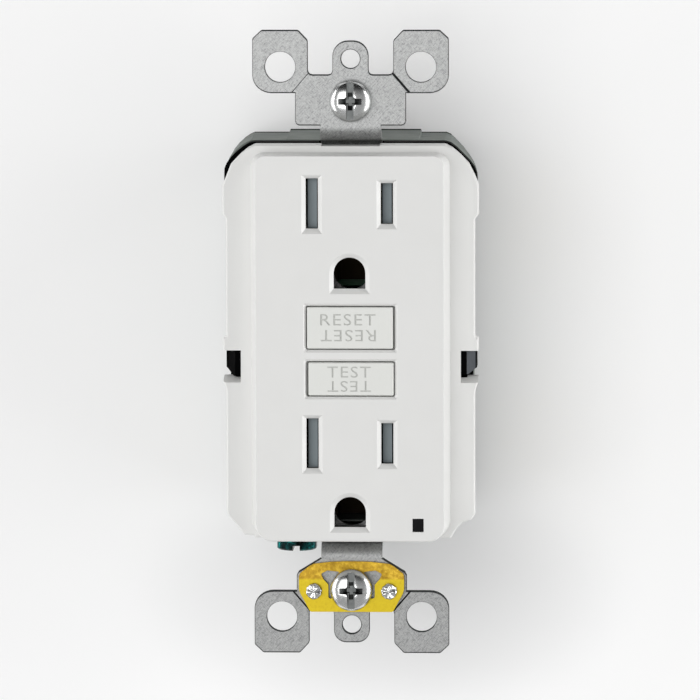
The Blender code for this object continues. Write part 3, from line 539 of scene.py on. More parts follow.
def turned(name, rows, seg=32, wave=None):
    """Turned skin.  rows: (radius, height) from top to bottom; wave(r, h, t)
    may change a point's radius and height with its angle."""
    bm = bmesh.new()
    rings = []
    for r, h in rows:
        if r < 1e-6:
            rings.append([bm.verts.new((0, 0, h * MM))])
            continue
        ring = []
        for i in range(seg):
            t = 2 * math.pi * i / seg
            rr, hh = wave(r, h, t) if wave else (r, h)
            ring.append(bm.verts.new((rr * MM * math.cos(t), rr * MM * math.sin(t),
                                      hh * MM)))
        rings.append(ring)
    for a, b in zip(rings, rings[1:]):
        if len(a) == 1 and len(b) == 1:
            continue
        for i in range(seg):
            j = (i + 1) % seg
            if len(a) == 1:
                bm.faces.new((a[0], b[j], b[i]))
            elif len(b) == 1:
                bm.faces.new((a[i], a[j], b[0]))
            else:
                bm.faces.new((a[i], a[j], b[j], b[i]))
    if len(rings[0]) > 1:
        bm.faces.new(rings[0])
    if len(rings[-1]) > 1:
        bm.faces.new(list(reversed(rings[-1])))
    return new_mesh(bm, name)


def rod_mesh(name, axis, centre, r, a0, a1, seg=28, r2=None):
    m = turned(name, [(r if r2 is None else r2, a1), (r, a0)], seg)
    return put(m, [0 if "XYZ"[i] == axis else c for i, c in enumerate(centre)],
               "+" + axis)


def inside(x, y, loop):
    """Whether a point lies inside a closed outline."""
    hit = False
    for (xa, ya), (xb, yb) in zip(loop, loop[1:] + loop[:1]):
        if (ya > y) != (yb > y) and x < (xb - xa) * (y - ya) / (yb - ya) + xa:
            hit = not hit
    return hit


def split_flats(mesh):
    """Cut into clean triangles the many-cornered faces that would fold over."""
    bm = bmesh.new()
    bm.from_mesh(mesh)
    bm.faces.ensure_lookup_table()
    spread, worst = {}, {}
    for tri in bm.calc_loop_triangles():
        f = tri[0].face
        if len(f.verts) < 5:
            continue
        p, q, r = (c.vert.co for c in tri)
        cr = (q - p).cross(r - p)
        spread[f.index] = spread.get(f.index, 0.0) + cr.length / 2
        if cr.length > 1e-12:
            worst[f.index] = min(worst.get(f.index, 1.0),
                                 cr.normalized().dot(f.normal))
    bad = [bm.faces[i] for i, total in spread.items()
           if total > bm.faces[i].calc_area() * 1.0005 or worst.get(i, 1) < 0.95]
    for f in bad:
        nor = f.normal.copy()
        if nor.length < 0.5:
            continue
        u = nor.orthogonal().normalized()
        w = nor.cross(u)
        vs = list(f.verts)
        flat = [Vector((v.co.dot(u), v.co.dot(w))) * 1000 for v in vs]
        loop = [(p.x, p.y) for p in flat]
        edges = [(i, (i + 1) % len(vs)) for i in range(len(vs))]
        res = delaunay_2d_cdt(flat, edges, [], 0, 1e-7, True)
        if len(res[0]) != len(vs):
            continue
        at = {i: o[0] for i, o in enumerate(res[3])}
        tris, total = [], 0.0
        for t in res[2]:
            pts = [loop[at[i]] for i in t]
            cx, cy = sum(q[0] for q in pts) / 3, sum(q[1] for q in pts) / 3
            if inside(cx, cy, loop):
                tris.append([vs[at[i]] for i in t])
                (ax, ay), (bx, by), (dx, dy) = pts
                total += abs((bx - ax) * (dy - ay) - (dx - ax) * (by - ay)) / 2
        if len(tris) != len(vs) - 2 or abs(total / (f.calc_area() * 1e6) - 1) > 1e-3:
            continue
        bmesh.ops.delete(bm, geom=[f], context="FACES_ONLY")
        for t in tris:
            bm.faces.new(t)
    bmesh.ops.recalc_face_normals(bm, faces=bm.faces)
    bm.to_mesh(mesh)
    bm.free()
    return mesh


def combine(mesh, steps, solver="MANIFOLD"):
    """Boolean steps [("UNION"|"DIFFERENCE", mesh), ...] on a closed mesh."""
    base = bpy.data.objects.new("work", mesh)
    COLL.objects.link(base)
    tools = []
    for op, tool in steps:
        t = bpy.data.objects.new("work_tool", tool)
        COLL.objects.link(t)
        tools.append(t)
        m = base.modifiers.new("b", "BOOLEAN")
        m.operation, m.solver, m.object = op, solver, t
    bpy.context.view_layer.update()
    deps = bpy.context.evaluated_depsgraph_get()
    out = bpy.data.meshes.new_from_object(base.evaluated_get(deps))
    for t in tools + [base]:
        bpy.data.objects.remove(t, do_unlink=True)
    out.materials.clear()
    return tidy(out, 0.1, 1e-7)


def minus(mesh, *tools, solver="MANIFOLD"):
    return combine(mesh, [("DIFFERENCE", t) for t in tools], solver)


def plus(mesh, *tools, solver="MANIFOLD"):
    return combine(mesh, [("UNION", t) for t in tools], solver)


def joined(name, meshes):
    """Several closed skins that don't touch, as one mesh."""
    bm = bmesh.new()
    for m in meshes:
        bm.from_mesh(m)
    out = bpy.data.meshes.new(name)
    bm.to_mesh(out)
    bm.free()
    return out


MADE = []


def piece(name, mesh, mat, node, smooth=32, also=(), weighted=True, pick=None):
    """Finished piece that stands for a CAD node and rides on its body.
    pick(centre, normal) says which of its materials a face takes."""
    split_flats(mesh)
    obj = bpy.data.objects.new(name, mesh)
    mesh.name = name
    COLL.objects.link(obj)
    mesh.materials.clear()
    for m in (mat if isinstance(mat, (list, tuple)) else [mat]):
        mesh.materials.append(m)
    mesh.shade_smooth()
    mesh.set_sharp_from_angle(angle=math.radians(smooth))
    if pick is not None:
        for f in mesh.polygons:
            f.material_index = pick(f.center / MM, f.normal)
    if weighted:
        w = obj.modifiers.new("normals", "WEIGHTED_NORMAL")
        w.keep_sharp = True
        w.weight = 60
    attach(obj, BODY[node])
    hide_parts(node, *also)
    MADE.append(obj)
    return obj


def circle(cx, cz, r, n=32, a0=0.0):
    return [(cx + r * math.cos(a0 + 2 * math.pi * i / n),
             cz + r * math.sin(a0 + 2 * math.pi * i / n)) for i in range(n)]


def rounded(x0, x1, z0, z1, r, n=6):
    pts = []
    for cx, cz, a in ((x1 - r, z1 - r, 0), (x0 + r, z1 - r, 90),
                      (x0 + r, z0 + r, 180), (x1 - r, z0 + r, 270)):
        for i in range(n + 1):
            t = math.radians(a + 90 * i / n)
            pts.append((cx + r * math.cos(t), cz + r * math.sin(t)))
    return pts


def mirrored(half):
    return half + [(-x, z) for x, z in reversed(half)]


def filleted(loop, radii, n=4):
    """Round the corners of a closed outline; radii by index, or one number."""
    out = []
    k = len(loop)
    for i in range(k):
        r = radii.get(i, 0.0) if isinstance(radii, dict) else radii
        p, a, b = (Vector(loop[j % k]) for j in (i, i - 1, i + 1))
        u, v = (a - p), (b - p)
        lu, lv = u.length, v.length
        if r <= 0 or lu < 1e-6 or lv < 1e-6:
            out.append(tuple(p))
            continue
        u.normalize()
        v.normalize()
        ang = u.angle(v)
        if ang > math.radians(177):
            out.append(tuple(p))
            continue
        d = min(r / math.tan(ang / 2), lu * 0.48, lv * 0.48)
        rr = d * math.tan(ang / 2)
        mid = (u + v).normalized()
        c = p + mid * (rr / math.sin(ang / 2))
        s, e = p + u * d, p + v * d
        a0 = math.atan2(s.y - c.y, s.x - c.x)
        a1 = math.atan2(e.y - c.y, e.x - c.x)
        da = (a1 - a0 + math.pi) % (2 * math.pi) - math.pi
        for j in range(n + 1):
            t = a0 + da * j / n
            out.append((c.x + rr * math.cos(t), c.y + rr * math.sin(t)))
    return out


def crossing(p, u, q, v):
    """Where the line through p along u meets the line through q along v."""
    den = u.x * v.y - u.y * v.x
    if abs(den) < 1e-4:
        return (p + q) / 2
    t = ((q.x - p.x) * v.y - (q.y - p.y) * v.x) / den
    return p + u * t


def inset(loop, d):
    """Move an outline inwards by d.  Its corners keep their count; a stretch
    that would turn over closes to one point instead."""
    area = sum(a[0] * b[1] - b[0] * a[1] for a, b in zip(loop, loop[1:] + loop[:1]))
    s = 1.0 if area > 0 else -1.0
    k = len(loop)
    src = [Vector(p) for p in loop]
    out = []
    for i in range(k):
        p, a, b = src[i], src[i - 1], src[(i + 1) % k]
        e0, e1 = (p - a).normalized(), (b - p).normalized()
        n0, n1 = Vector((-e0.y, e0.x)) * s, Vector((-e1.y, e1.x)) * s
        m = n0 + n1
        if m.length < 1e-6:
            m = n0
        m.normalize()
        c = max(0.45, m.dot(n0))
        out.append(p + m * (d / c))
    for _ in range(8):
        flips = [(out[(i + 1) % k] - out[i]).dot(src[(i + 1) % k] - src[i]) < 1e-9 and
                 (out[(i + 1) % k] - out[i]).length > 1e-6 for i in range(k)]
        if not any(flips) or all(flips):
            break
        start = next(i for i in range(k) if not flips[i])
        i = 0
        while i < k:
            j = (start + i) % k
            if not flips[j]:
                i += 1
                continue
            run = 0
            while flips[(j + run) % k]:
                run += 1
            before, after = (j - 1) % k, (j + run) % k
            u = (src[j] - src[before]).normalized()
            v = (src[(after + 1) % k] - src[after]).normalized()
            meet = crossing(out[before], u, out[(after + 1) % k], v)
            mid = (out[j] + out[after]) / 2
            if (meet - mid).length > 2 * abs(d) + 0.05:
                meet = mid
            for r in range(run + 1):
                out[(j + r) % k] = meet.copy()
            i += run
    return [tuple(p) for p in out]


def eased_rings(loop, y0, y1, front=0.3, back=0.15, n=4):
    """Rings of an extrusion along Y with rounded front and back rims."""
    rings = []
    for i in range(n + 1):
        t = math.radians(90 * i / n)
        rings.append((y0 + front * (1 - math.sin(t)),
                      inset(loop, front * (1 - math.cos(math.pi / 2 - t)))))
    rings = [(y0 + front * (1 - math.cos(math.radians(90 * i / n))),
              inset(loop, front * (1 - math.sin(math.radians(90 * i / n)))))
             for i in range(n + 1)]
    rings += [(y1 - back * (1 - math.cos(math.radians(90 * i / n))),
               inset(loop, back * (1 - math.sin(math.radians(90 * i / n)))))
              for i in range(n, -1, -1)]
    return rings


# ------------------------------------------------------------ front cover
# right-hand and left-hand outlines differ a little at the foot
flange_right = [(16.1, 33.95), (17.27, 33.31), (18.6, 32.2), (20.08, 30.65),
                (21.1, 28.6), (21.75, 27.0), (21.75, 22.1), (21.3, 21.5),
                (21.10, 21.2), (21.10, 1.6), (21.25, 1.15), (21.7, 1.0),
                (21.7, -6.4), (21.25, -7.7), (21.10, -8.7), (21.10, -29.2),
                (20.5, -30.05), (18.9, -30.6), (17.9, -31.7), (17.0, -33.25)]
flange_left = [(16.6, -33.25), (16.4, -32.86), (18.2, -32.74), (21.0, -29.42),
               (21.20, -28.9), (21.20, -8.7), (21.25, -7.7), (21.7, -6.4),
               (21.7, 1.0), (21.25, 1.15), (21.20, 1.6), (21.20, 21.2),
               (21.3, 21.5), (21.75, 22.1), (21.75, 27.0), (21.1, 28.6),
               (20.28, 30.72), (18.86, 32.22), (17.5, 33.33), (16.3, 33.95)]
flange = flange_right + [(-x, z) for x, z in flange_left]
radii = {i: 0.25 for i in range(len(flange))}
for i in (0, 1, 2, 3, 4, 5, 34, 35, 36, 37, 38, 39):
    radii[i] = 1.0
flange = filleted(flange, radii, 3)

face_rings = []
for y, x, low, high, r in ((-7.40, 15.80, -33.03, 32.27, 1.55),
                           (-7.36, 15.91, -33.14, 32.33, 1.62),
                           (-7.26, 15.99, -33.24, 32.36, 1.68),
                           (-7.10, 16.04, -33.31, 32.38, 1.72),
                           (-6.85, 16.08, -33.35, 32.39, 1.75),
                           (-3.00, 16.90, -33.36, 32.68, 2.40),
                           (-2.20, 16.95, -33.36, 32.70, 2.45)):
    up = rounded(-x, x, low, high, r, 8)
    low_r = r + 1.1
    down = rounded(-x, x, low, high, low_r, 8)
    face_rings.append((y, [a if a[1] > 0 else b for a, b in zip(up, down)]))
cover = loft("cover", face_rings)
skirt = loft("skirt", eased_rings(flange, FLANGE_Y, COVER_BACK_Y, 0.4, 0.2, 3))


def rect(cx, cz, w, h):
    return [(cx - w, cz - h), (cx + w, cz - h), (cx + w, cz + h), (cx - w, cz + h)]


def funnel(name, make, depth, grow, side, top, bottom, tail):
    """Opening with sloping mouth; make(side, top, bottom) gives its outline."""
    f = (depth + grow) / depth
    return loft(name, [(FACE_Y - grow, make(side * f, top * f, bottom * f)),
                       (FACE_Y + depth, make(0, 0, 0)), (tail, make(0, 0, 0))])


cuts = []
for k, zc in enumerate(OUTLET_Z):
    for sx, length in ((-1, NEUTRAL_L), (1, HOT_L)):
        def slot(s, t, b, cx=sx * SLOT_X, h=length / 2):
            w = SLOT_W / 2
            return [(cx - w - s, zc - h - b), (cx + w + s, zc - h - b),
                    (cx + w + s, zc + h + t), (cx - w - s, zc + h + t)]
        cuts.append(funnel("slot", slot, 0.6, 0.2, 0.72, 0.6, 0.9, -4.0))
for z0, z1 in GROUND:
    def arch(s, t, b, z0=z0, z1=z1):
        r = GROUND_W / 2 + s
        return ([(-r, z0 - b), (r, z0 - b)] +
                [(r * math.cos(math.pi * i / 24),
                  z1 - GROUND_W / 2 + r * math.sin(math.pi * i / 24))
                 for i in range(25)])
    cuts.append(funnel("ground", arch, 0.6, 0.2, 0.75, 0.75, 0.9, -4.0))
for tag, (cx, cz, w, h) in (("reset", RESET), ("test", TEST)):
    def mouth(s, t, b, cx=cx, cz=cz, w=w, h=h):
        return rounded(cx - w / 2 - s, cx + w / 2 + s, cz - h / 2 - s,
                       cz + h / 2 + s, 0.25, 3)
    cuts.append(funnel(tag, mouth, 0.35, 0.2, 0.42, 0.42, 0.42, -4.0))
cuts.append(block("led", LED[0] - LED[2] / 2, LED[0] + LED[2] / 2, -9, -4,
                  LED[1] - LED[3] / 2, LED[1] + LED[3] / 2))
for sx in (-1, 1):
    prof = [(-4.5, -1.1), (3.0, -1.1), (3.0, -5.65), (-0.8, -5.65), (-3.0, -6.6),
            (-4.5, -7.25)]
    cuts.append(sheet_mesh("notch", [prof], "YZ", *sorted((sx * 18.72, sx * 24))))
cuts.append(block("neck_notch", -5.0, 5.0, -3.4, 3.0, 33.7, 35.0))
inner = [block("cavity", -14.9, 14.9, FACE_Y + 2.0, 3.0, -31.5, 31.5),
         sheet_mesh("skirt_cavity", [[(x * 0.912, z * 0.945) for x, z in flange]],
                    "XZ", FLANGE_Y + 1.8, 3.0)]
bosses = [rod_mesh("boss", "Y", (sx * BOSS[0], 0, sz * BOSS[1]), 2.5, -2.2, 1.2)
          for sx in (-1, 1) for sz in (-1, 1)]
pilots = [rod_mesh("pilot", "Y", (sx * BOSS[0], 0, sz * BOSS[1]), 1.55, -1.5, 2.5, 16)
          for sx in (-1, 1) for sz in (-1, 1)]
cover = combine(cover, [("UNION", skirt)] + [("DIFFERENCE", t) for t in inner] +
                [("UNION", t) for t in bosses] +
                [("DIFFERENCE", t) for t in pilots + cuts])
cover = ease(cover, 0.05, 20, 2, lambda p: p.y < FACE_Y + 0.005)


def in_opening(c, nor):
    """Inner walls of the slots and ground holes, below their sloping mouths, which are painted black as
    shade.
    """
    if abs(nor.y) > 0.3 or not -6.75 < c.y < -4.9:
        return 0
    slots = 5.2 < abs(c.x) < 7.5 and min(abs(c.z - z) for z in OUTLET_Z) < 4.5
    holes = abs(c.x) < 2.75 and any(z0 - 0.1 < c.z < z1 + 0.1 for z0, z1 in GROUND)
    return 1 if slots or holes else 0


piece("cover_shell", cover, [WHITE, BLACK_AND_SHADE], "front_cover", 24,
      pick=in_opening)


# ---------------------------------------------------------------- buttons
def lettering(word, height, cx, cz, flip, y, rise, width=None):
    """Capitals through a plane that faces -Y, to be sunk into it."""
    cu = bpy.data.curves.new(word, "FONT")
    cu.body = word
    cu.align_x = "CENTER"
    cu.align_y = "CENTER"
    cu.size = 1.0
    cu.extrude = 0.5
    cu.resolution_u = 3
    cu.offset = -0.004
    cu.space_character = 1.12
    tmp = bpy.data.objects.new(word, cu)
    COLL.objects.link(tmp)
    bpy.context.view_layer.update()
    deps = bpy.context.evaluated_depsgraph_get()
    mesh = bpy.data.meshes.new_from_object(tmp.evaluated_get(deps))
    bpy.data.objects.remove(tmp, do_unlink=True)
    xs = [v.co.x for v in mesh.vertices]
    ys = [v.co.y for v in mesh.vertices]
    mx, my = (max(xs) + min(xs)) / 2, (max(ys) + min(ys)) / 2
    kx = (width or height * (max(xs) - min(xs)) / (max(ys) - min(ys))) / (
        max(xs) - min(xs))
    kz = height / (max(ys) - min(ys))
    s = -1 if flip else 1
    for v in mesh.vertices:
        x, z, d = (v.co.x - mx) * kx * s, (v.co.y - my) * kz * s, v.co.z
        v.co = Vector(((cx + x) * MM, (y - d * rise) * MM, (cz + z) * MM))
    mesh.materials.clear()
    return tidy(mesh, 0.1, 1e-7)


def cap(name, x0, x1, opening, back, words, stem):
    cx, cz, w, h = opening
    z0, z1 = cz - h / 2 + 0.22, cz + h / 2 - 0.2
    loop = rounded(x0, x1, z0, z1, 0.22, 4)
    body = loft(name, eased_rings(loop, -7.43, back, 0.22, 0.1, 4))
    steps = [("UNION", block("skirt", cx - 8.3, cx + 8.3, -5.1, -4.2,
                             cz - h / 2 - 0.5, cz + h / 2 + 0.4))]
    if stem:
        steps.append(("UNION", rod_mesh("stem", "Y", (4.0, 0, cz), 1.4, -3.6, -1.2)))
    else:
        steps.append(("DIFFERENCE", block("hollow", -6.0, 6.3, -4.6, 0, cz - 2.5,
                                          cz + 2.5)))
    for word, height, wz, flip, width, wx in words:
        steps.append(("DIFFERENCE", lettering(word, height, wx, wz, flip, -7.43,
                                              0.34, width)))
    return combine(body, steps)


reset = cap("reset", -7.2, 7.33, RESET, -1.2,
            [("RESET", 1.95, 4.62, False, 9.35, -0.25),
             ("RESET", 1.95, 1.92, True, 9.35, -0.2)], False)


# the floors of the sunk letters take painted shade
def sunk(c, nor):
    return 1 if nor.y < -0.9 and -7.35 < c.y < -7.2 else 0


piece("reset_cap", reset, [BUTTON, LETTER_SHADE], "reset_button", 28,
      pick=sunk)
test = cap("test", -6.98, 7.45, TEST, -3.2,
           [("TEST", 1.9, -4.28, False, 7.35, -0.1),
            ("TEST", 1.85, -6.72, True, 7.35, -0.05)], True)
piece("test_cap", test, [BUTTON, LETTER_SHADE], "test_button", 28,
      pick=sunk)
piece("indicator_window", soft_block("window", LED[0] - 0.9, LED[0] + 0.9, -7.05,
                                     -4.3, LED[1] - 1.1, LED[1] + 1.1, 0.08),
      SMOKE, "indicator_lens", 30)

# --------------------------------------------------------------- shutters
for where, zc in (("upper", OUTLET_Z[0]), ("lower", OUTLET_Z[1])):
    for pole, sx, length in (("hot", 1, HOT_L), ("neutral", -1, NEUTRAL_L)):
        wedge = [(4.7, -3.1), (4.7, -4.98), (4.82, -5.1), (5.18, -5.1), (5.22, -3.6),
                 (5.48, -3.6), (5.52, -5.04), (5.58, -5.1), (7.08, -5.08),
                 (7.14, -5.0), (7.18, -3.6), (7.46, -3.6), (7.5, -4.8), (7.6, -4.86),
                 (8.05, -4.3), (8.2, -4.1), (8.2, -3.1)]
        m = sheet_mesh("shutter", [[(sx * x, y) for x, y in wedge]], "XY",
                       zc - length / 2 - 0.8, zc + length / 2 + 0.8)
        # the grooves beside the slot edges take black as painted shade
        piece("%s_%s_shutter_ramp" % (where, pole), m, [SHUTTER, BLACK_AND_SHADE],
              "%s_%s_shutter" % (where, pole), 40,
              pick=lambda c, nor: 1 if (5.17 < abs(c.x) < 5.54 or 7.12 < abs(c.x) < 7.52)
              and -5.0 < c.y < -3.4 else 0)


# ------------------------------------------------------------------ strap
def ear_half(low):
    pts = [(NECK_X, 36.2)]
    if low:
        pts += [(NECK_X, 36.9), (PLATE_X - 0.3, 39.3), (PLATE_X, 39.9)]
    else:
        pts += [(NECK_X, 37.1), (PLATE_X - 0.75, 37.1), (PLATE_X - 0.38, 37.2),
                (PLATE_X - 0.1, 37.48), (PLATE_X, 37.85)]
    pts += [(PLATE_X, EAR_LOW), (13.4, EAR_LOW)]
    for i in range(1, 8):
        t = math.radians(-90 + 90 * i / 8)
        pts.append((13.4 + 3.25 * math.cos(t), 45.6 + 3.0 * math.sin(t)))
    pts += [(EAR_X, 45.6), (EAR_X, EAR_TOP - 1.55), (EAR_X - 0.12, EAR_TOP - 1.3),
            (EAR_X - 1.4, EAR_TOP - 0.1), (EAR_X - 1.65, EAR_TOP),
            (EAR_IN + 1.75, EAR_TOP), (EAR_IN + 1.5, EAR_TOP - 0.12),
            (EAR_IN + 0.12, EAR_TOP - 1.6), (EAR_IN, EAR_TOP - 1.9), (EAR_IN, 46.5),
            (EAR_IN - 0.14, 46.1), (EAR_IN - 0.42, 45.84), (EAR_IN - 0.85, 45.75),
            (TAB_X + 0.75, 45.75), (TAB_X + 0.36, 45.84), (TAB_X + 0.1, 46.1),
            (TAB_X, 46.5)]
    if low:
        arc = 2.1
    else:
        arc = 2.6
    cz = TAB_TOP - arc
    for i in range(0, 9):
        t = math.radians(90 * i / 8)
        pts.append((TAB_X - arc + arc * math.cos(t), cz + arc * math.sin(t)))
    return pts


def strap_path(s):
    a = abs(s)
    if a >= BEND_Z:
        return s, 0.0, 0.0
    full = 2 * BEND_R * (1 - math.cos(BEND_A))
    if a <= BEND_LO:
        return s, full, 0.0
    arc = BEND_R * BEND_A
    d = (BEND_Z - a) / (BEND_Z - BEND_LO) * 2 * arc
    if d <= arc:
        t = d / BEND_R
        z, y = BEND_Z - BEND_R * math.sin(t), BEND_R * (1 - math.cos(t))
    else:
        t = (2 * arc - d) / BEND_R
        z, y = BEND_LO + BEND_R * math.sin(t), full - BEND_R * (1 - math.cos(t))
    return math.copysign(z, s), y, math.copysign(t, s)


def groove(x0, z0, x1, z1, w, d, over=0.35):
    """V-shaped score line in the strap's front face."""
    a, b = Vector((x0, z0)), Vector((x1, z1))
    u = (b - a).normalized()
    a, b = a - u * over, b + u * over
    v = Vector((-u.y, u.x))
    bm = bmesh.new()
    top, dip = -STRAP_T - 0.2, -STRAP_T + d
    half = w / 2 * (d + 0.2) / d
    ends = []
    for p in (a, b):
        ends.append([bm.verts.new(Vector((q.x, y, q.y)) * MM) for q, y in
                     ((p - v * half, top), (p + v * half, top), (p, dip))])
    s, e = ends
    for i in range(3):
        j = (i + 1) % 3
        bm.faces.new((s[i], s[j], e[j], e[i]))
    bm.faces.new(s)
    bm.faces.new(list(reversed(e)))
    return new_mesh(bm, "groove")


top = ear_half(False)
bot = [(x, -z) for x, z in ear_half(True)]
half = list(reversed(top)) + [(NECK_X, BEND_LO + 0.4), (BAND_X, BEND_LO - 0.6),
                              (BAND_X, 0.6 - BEND_LO), (NECK_X, -0.4 - BEND_LO)] + bot
loops = [mirrored(half)]
for sz in (1, -1):
    loops.append(circle(0, sz * PLATE_HOLE_Z, PLATE_HOLE_R, 32))
    for sx in (1, -1):
        loops.append(circle(sx * EAR_HOLE[0], sz * EAR_HOLE[1], EAR_HOLE[2], 40))
for z in (UP_SCREW_Z, LOW_SCREW_Z):
    loops.append(mirrored([(0.9 + 1.95 * math.cos(t), z + 1.95 * math.sin(t)) for t in
                           (math.radians(a) for a in range(-90, 91, 15))]))
for sx in (1, -1):
    loops.append(circle(sx * 6.42, -42.5, 1.1, 16))
loops += [circle(0, GROUND_IN_Z[0], 3.15, 24), circle(0, GROUND_IN_Z[1], 3.15, 24),
          circle(0, RESET[1], 1.5, 16)]
strap = sheet_mesh("strap", loops, "XZ", -STRAP_T + 0.1, 0.0)
strap = ease(strap, 0.16, 60, 3, lambda p: abs(p.z) > 36.3)
# the punched edge is rolled under: the front skin stands inside the outline
skin = [[(x, z * 2) for x, z in inset([(x, z / 2) for x, z in loops[0]], 0.095)]]
for sz in (1, -1):
    skin.append(circle(0, sz * PLATE_HOLE_Z, PLATE_HOLE_R + 0.12, 32))
    for sx in (1, -1):
        skin.append(circle(sx * EAR_HOLE[0], sz * EAR_HOLE[1], EAR_HOLE[2] + 0.07, 40))
skin += loops[7:]
strap = plus(strap, sheet_mesh("skin", skin, "XZ", -STRAP_T, -STRAP_T + 0.18))
strap = minus(strap,
              groove(10.07, 42.6, 7.36, 45.75, 0.42, 0.3),
              groove(-10.07, 42.6, -7.36, 45.75, 0.12, 0.05),
              groove(10.07, -42.6, 7.36, -45.75, 0.3, 0.22),
              groove(-10.07, -42.6, -7.36, -45.75, 0.3, 0.22))
bm = bmesh.new()
bm.from_mesh(strap)
steps = [BEND_Z - (BEND_Z - BEND_LO) * k / 20 for k in range(0, 21)]
for s in steps + [-c for c in steps]:
    bmesh.ops.bisect_plane(bm, geom=bm.verts[:] + bm.edges[:] + bm.faces[:],
                           dist=1e-8, plane_co=(0, 0, s * MM), plane_no=(0, 0, 1))
for v in bm.verts:
    s = v.co.z / MM
    t = v.co.y / MM + STRAP_T / 2
    z, y, tilt = strap_path(s)
    z += t * math.sin(tilt)
    v.co.y = (y - STRAP_T / 2 + t * math.cos(tilt)) * MM
    v.co.z = z * MM
bmesh.ops.recalc_face_normals(bm, faces=bm.faces)
bm.to_mesh(strap)
bm.free()
tab = soft_block("tab", -13.6, -3.9, 2.25, 14.6, -34.55, -33.36, 0.2)
strap = plus(strap, tab)
strap = minus(strap, rod_mesh("tab_hole", "Z", (-9.9, 10.0, 0), 2.3, -36, -32, 24))


def cut_edge_shade(c, nor):
    """Cut edges of the strap and the narrow ledge around its front skin, painted near-black: bare cut steel
    on the edges, darkened further as painted shade for the dark outline around the strap.
    """
    if abs(c.z) < 37.2:
        return 0
    ledge = nor.y < -0.9 and abs(c.y + STRAP_T - 0.1) < 0.03
    return 1 if ledge or abs(nor.y) < 0.8 else 0


piece("strap_sheet", strap, [ZINC, SHEARED_EDGE_SHADE], "mounting_strap", 30,
      pick=cut_edge_shade)


# ----------------------------------------------------------------- screws
def cross(length, width):
    a, b = length, width
    return [(b, b), (a, b), (a, -b), (b, -b), (b, -a), (-b, -a), (-b, -b), (-a, -b),
            (-a, b), (-b, b), (-b, a), (b, a)]


def thread_rows(r, pitch, top, bottom):
    rows = []
    per = 6
    count = int((top - bottom) / pitch * per)
    for i in range(count + 1):
        rows.append((r, top - (top - bottom) * i / count))
    return rows


def screw(head_r, head_h, shank_r, length, slot_w, phillips, seg=40, flat=0.0,
          plain=1.2, pitch=0.794, slot_d=0.95):
    """Domed combination screw with a real helical thread; head along +Z."""
    rows = [(0, head_h)]
    for i in range(1, 9):
        t = math.radians(90 * i / 8)
        rows.append((flat + (head_r - flat) * math.sin(t) ** 0.95,
                     0.28 + (head_h - 0.28) * math.cos(t) ** 0.9))
    rows += [(head_r, 0.14), (head_r - 0.1, 0.0), (shank_r + 0.1, 0.0),
             (shank_r, -0.1), (shank_r, -plain)]
    thread = thread_rows(shank_r, pitch, -plain - 0.05, -length + 0.9)
    rows += thread + [(shank_r * 0.86, -length + 0.8), (shank_r * 0.5, -length),
                      (0, -length)]
    low, high = -length + 0.85, -plain

    def wave(r, h, t):
        if h > high or h < low or abs(r - shank_r) > 1e-6:
            return r, h
        phase = (h / pitch + t / (2 * math.pi)) % 1.0
        fade = min(1.0, (high - h) / 0.7, max(0.15, (h - low) / 0.8 + 0.15))
        return r - 0.3 * fade * (1 - abs(2 * phase - 1)) ** 1.2, h

    m = turned("screw", rows, seg, wave)
    tools = []
    if slot_w:
        hw, top_h = slot_w / 2, head_h + 0.6
        tools.append(loft("slot", [(-head_r - 1, [(-hw, head_h - slot_d),
                                                  (hw, head_h - slot_d),
                                                  (hw * 1.12, top_h),
                                                  (-hw * 1.12, top_h)]),
                                   (head_r + 1, [(-hw, head_h - slot_d),
                                                 (hw, head_h - slot_d),
                                                 (hw * 1.12, top_h),
                                                 (-hw * 1.12, top_h)])]))
    if phillips:
        tools.append(loft("cross", [(head_h + 0.5, cross(phillips / 2 + 0.12, 0.62)),
                                    (head_h - 0.55, cross(phillips / 2 - 0.35, 0.46)),
                                    (head_h - 1.75, cross(0.75, 0.3))], "XY"))
        tools.append(turned("cone", [(1.75, head_h + 0.5), (1.28, head_h - 0.4),
                                     (0.25, head_h - 1.7)], 4))
    if tools:
        m = minus(m, *tools)
        m = ease(m, 0.06, 35, 2, lambda p: p.z > 0.3)
    return m




def in_recess(y0, z0):
    """Picks the walls of the driver recess under the dome of a screw head, which are painted dark as shade.
    """
    def choose(c, nor):
        r, h = math.hypot(c.x, c.z - z0), y0 - c.y
        if r > 2.45:
            return 0
        dome = 0.28 + 2.02 * math.cos(math.asin(r / 3.62)) ** 0.9
        return 1 if 0.3 < h < dome - 0.22 else 0
    return choose


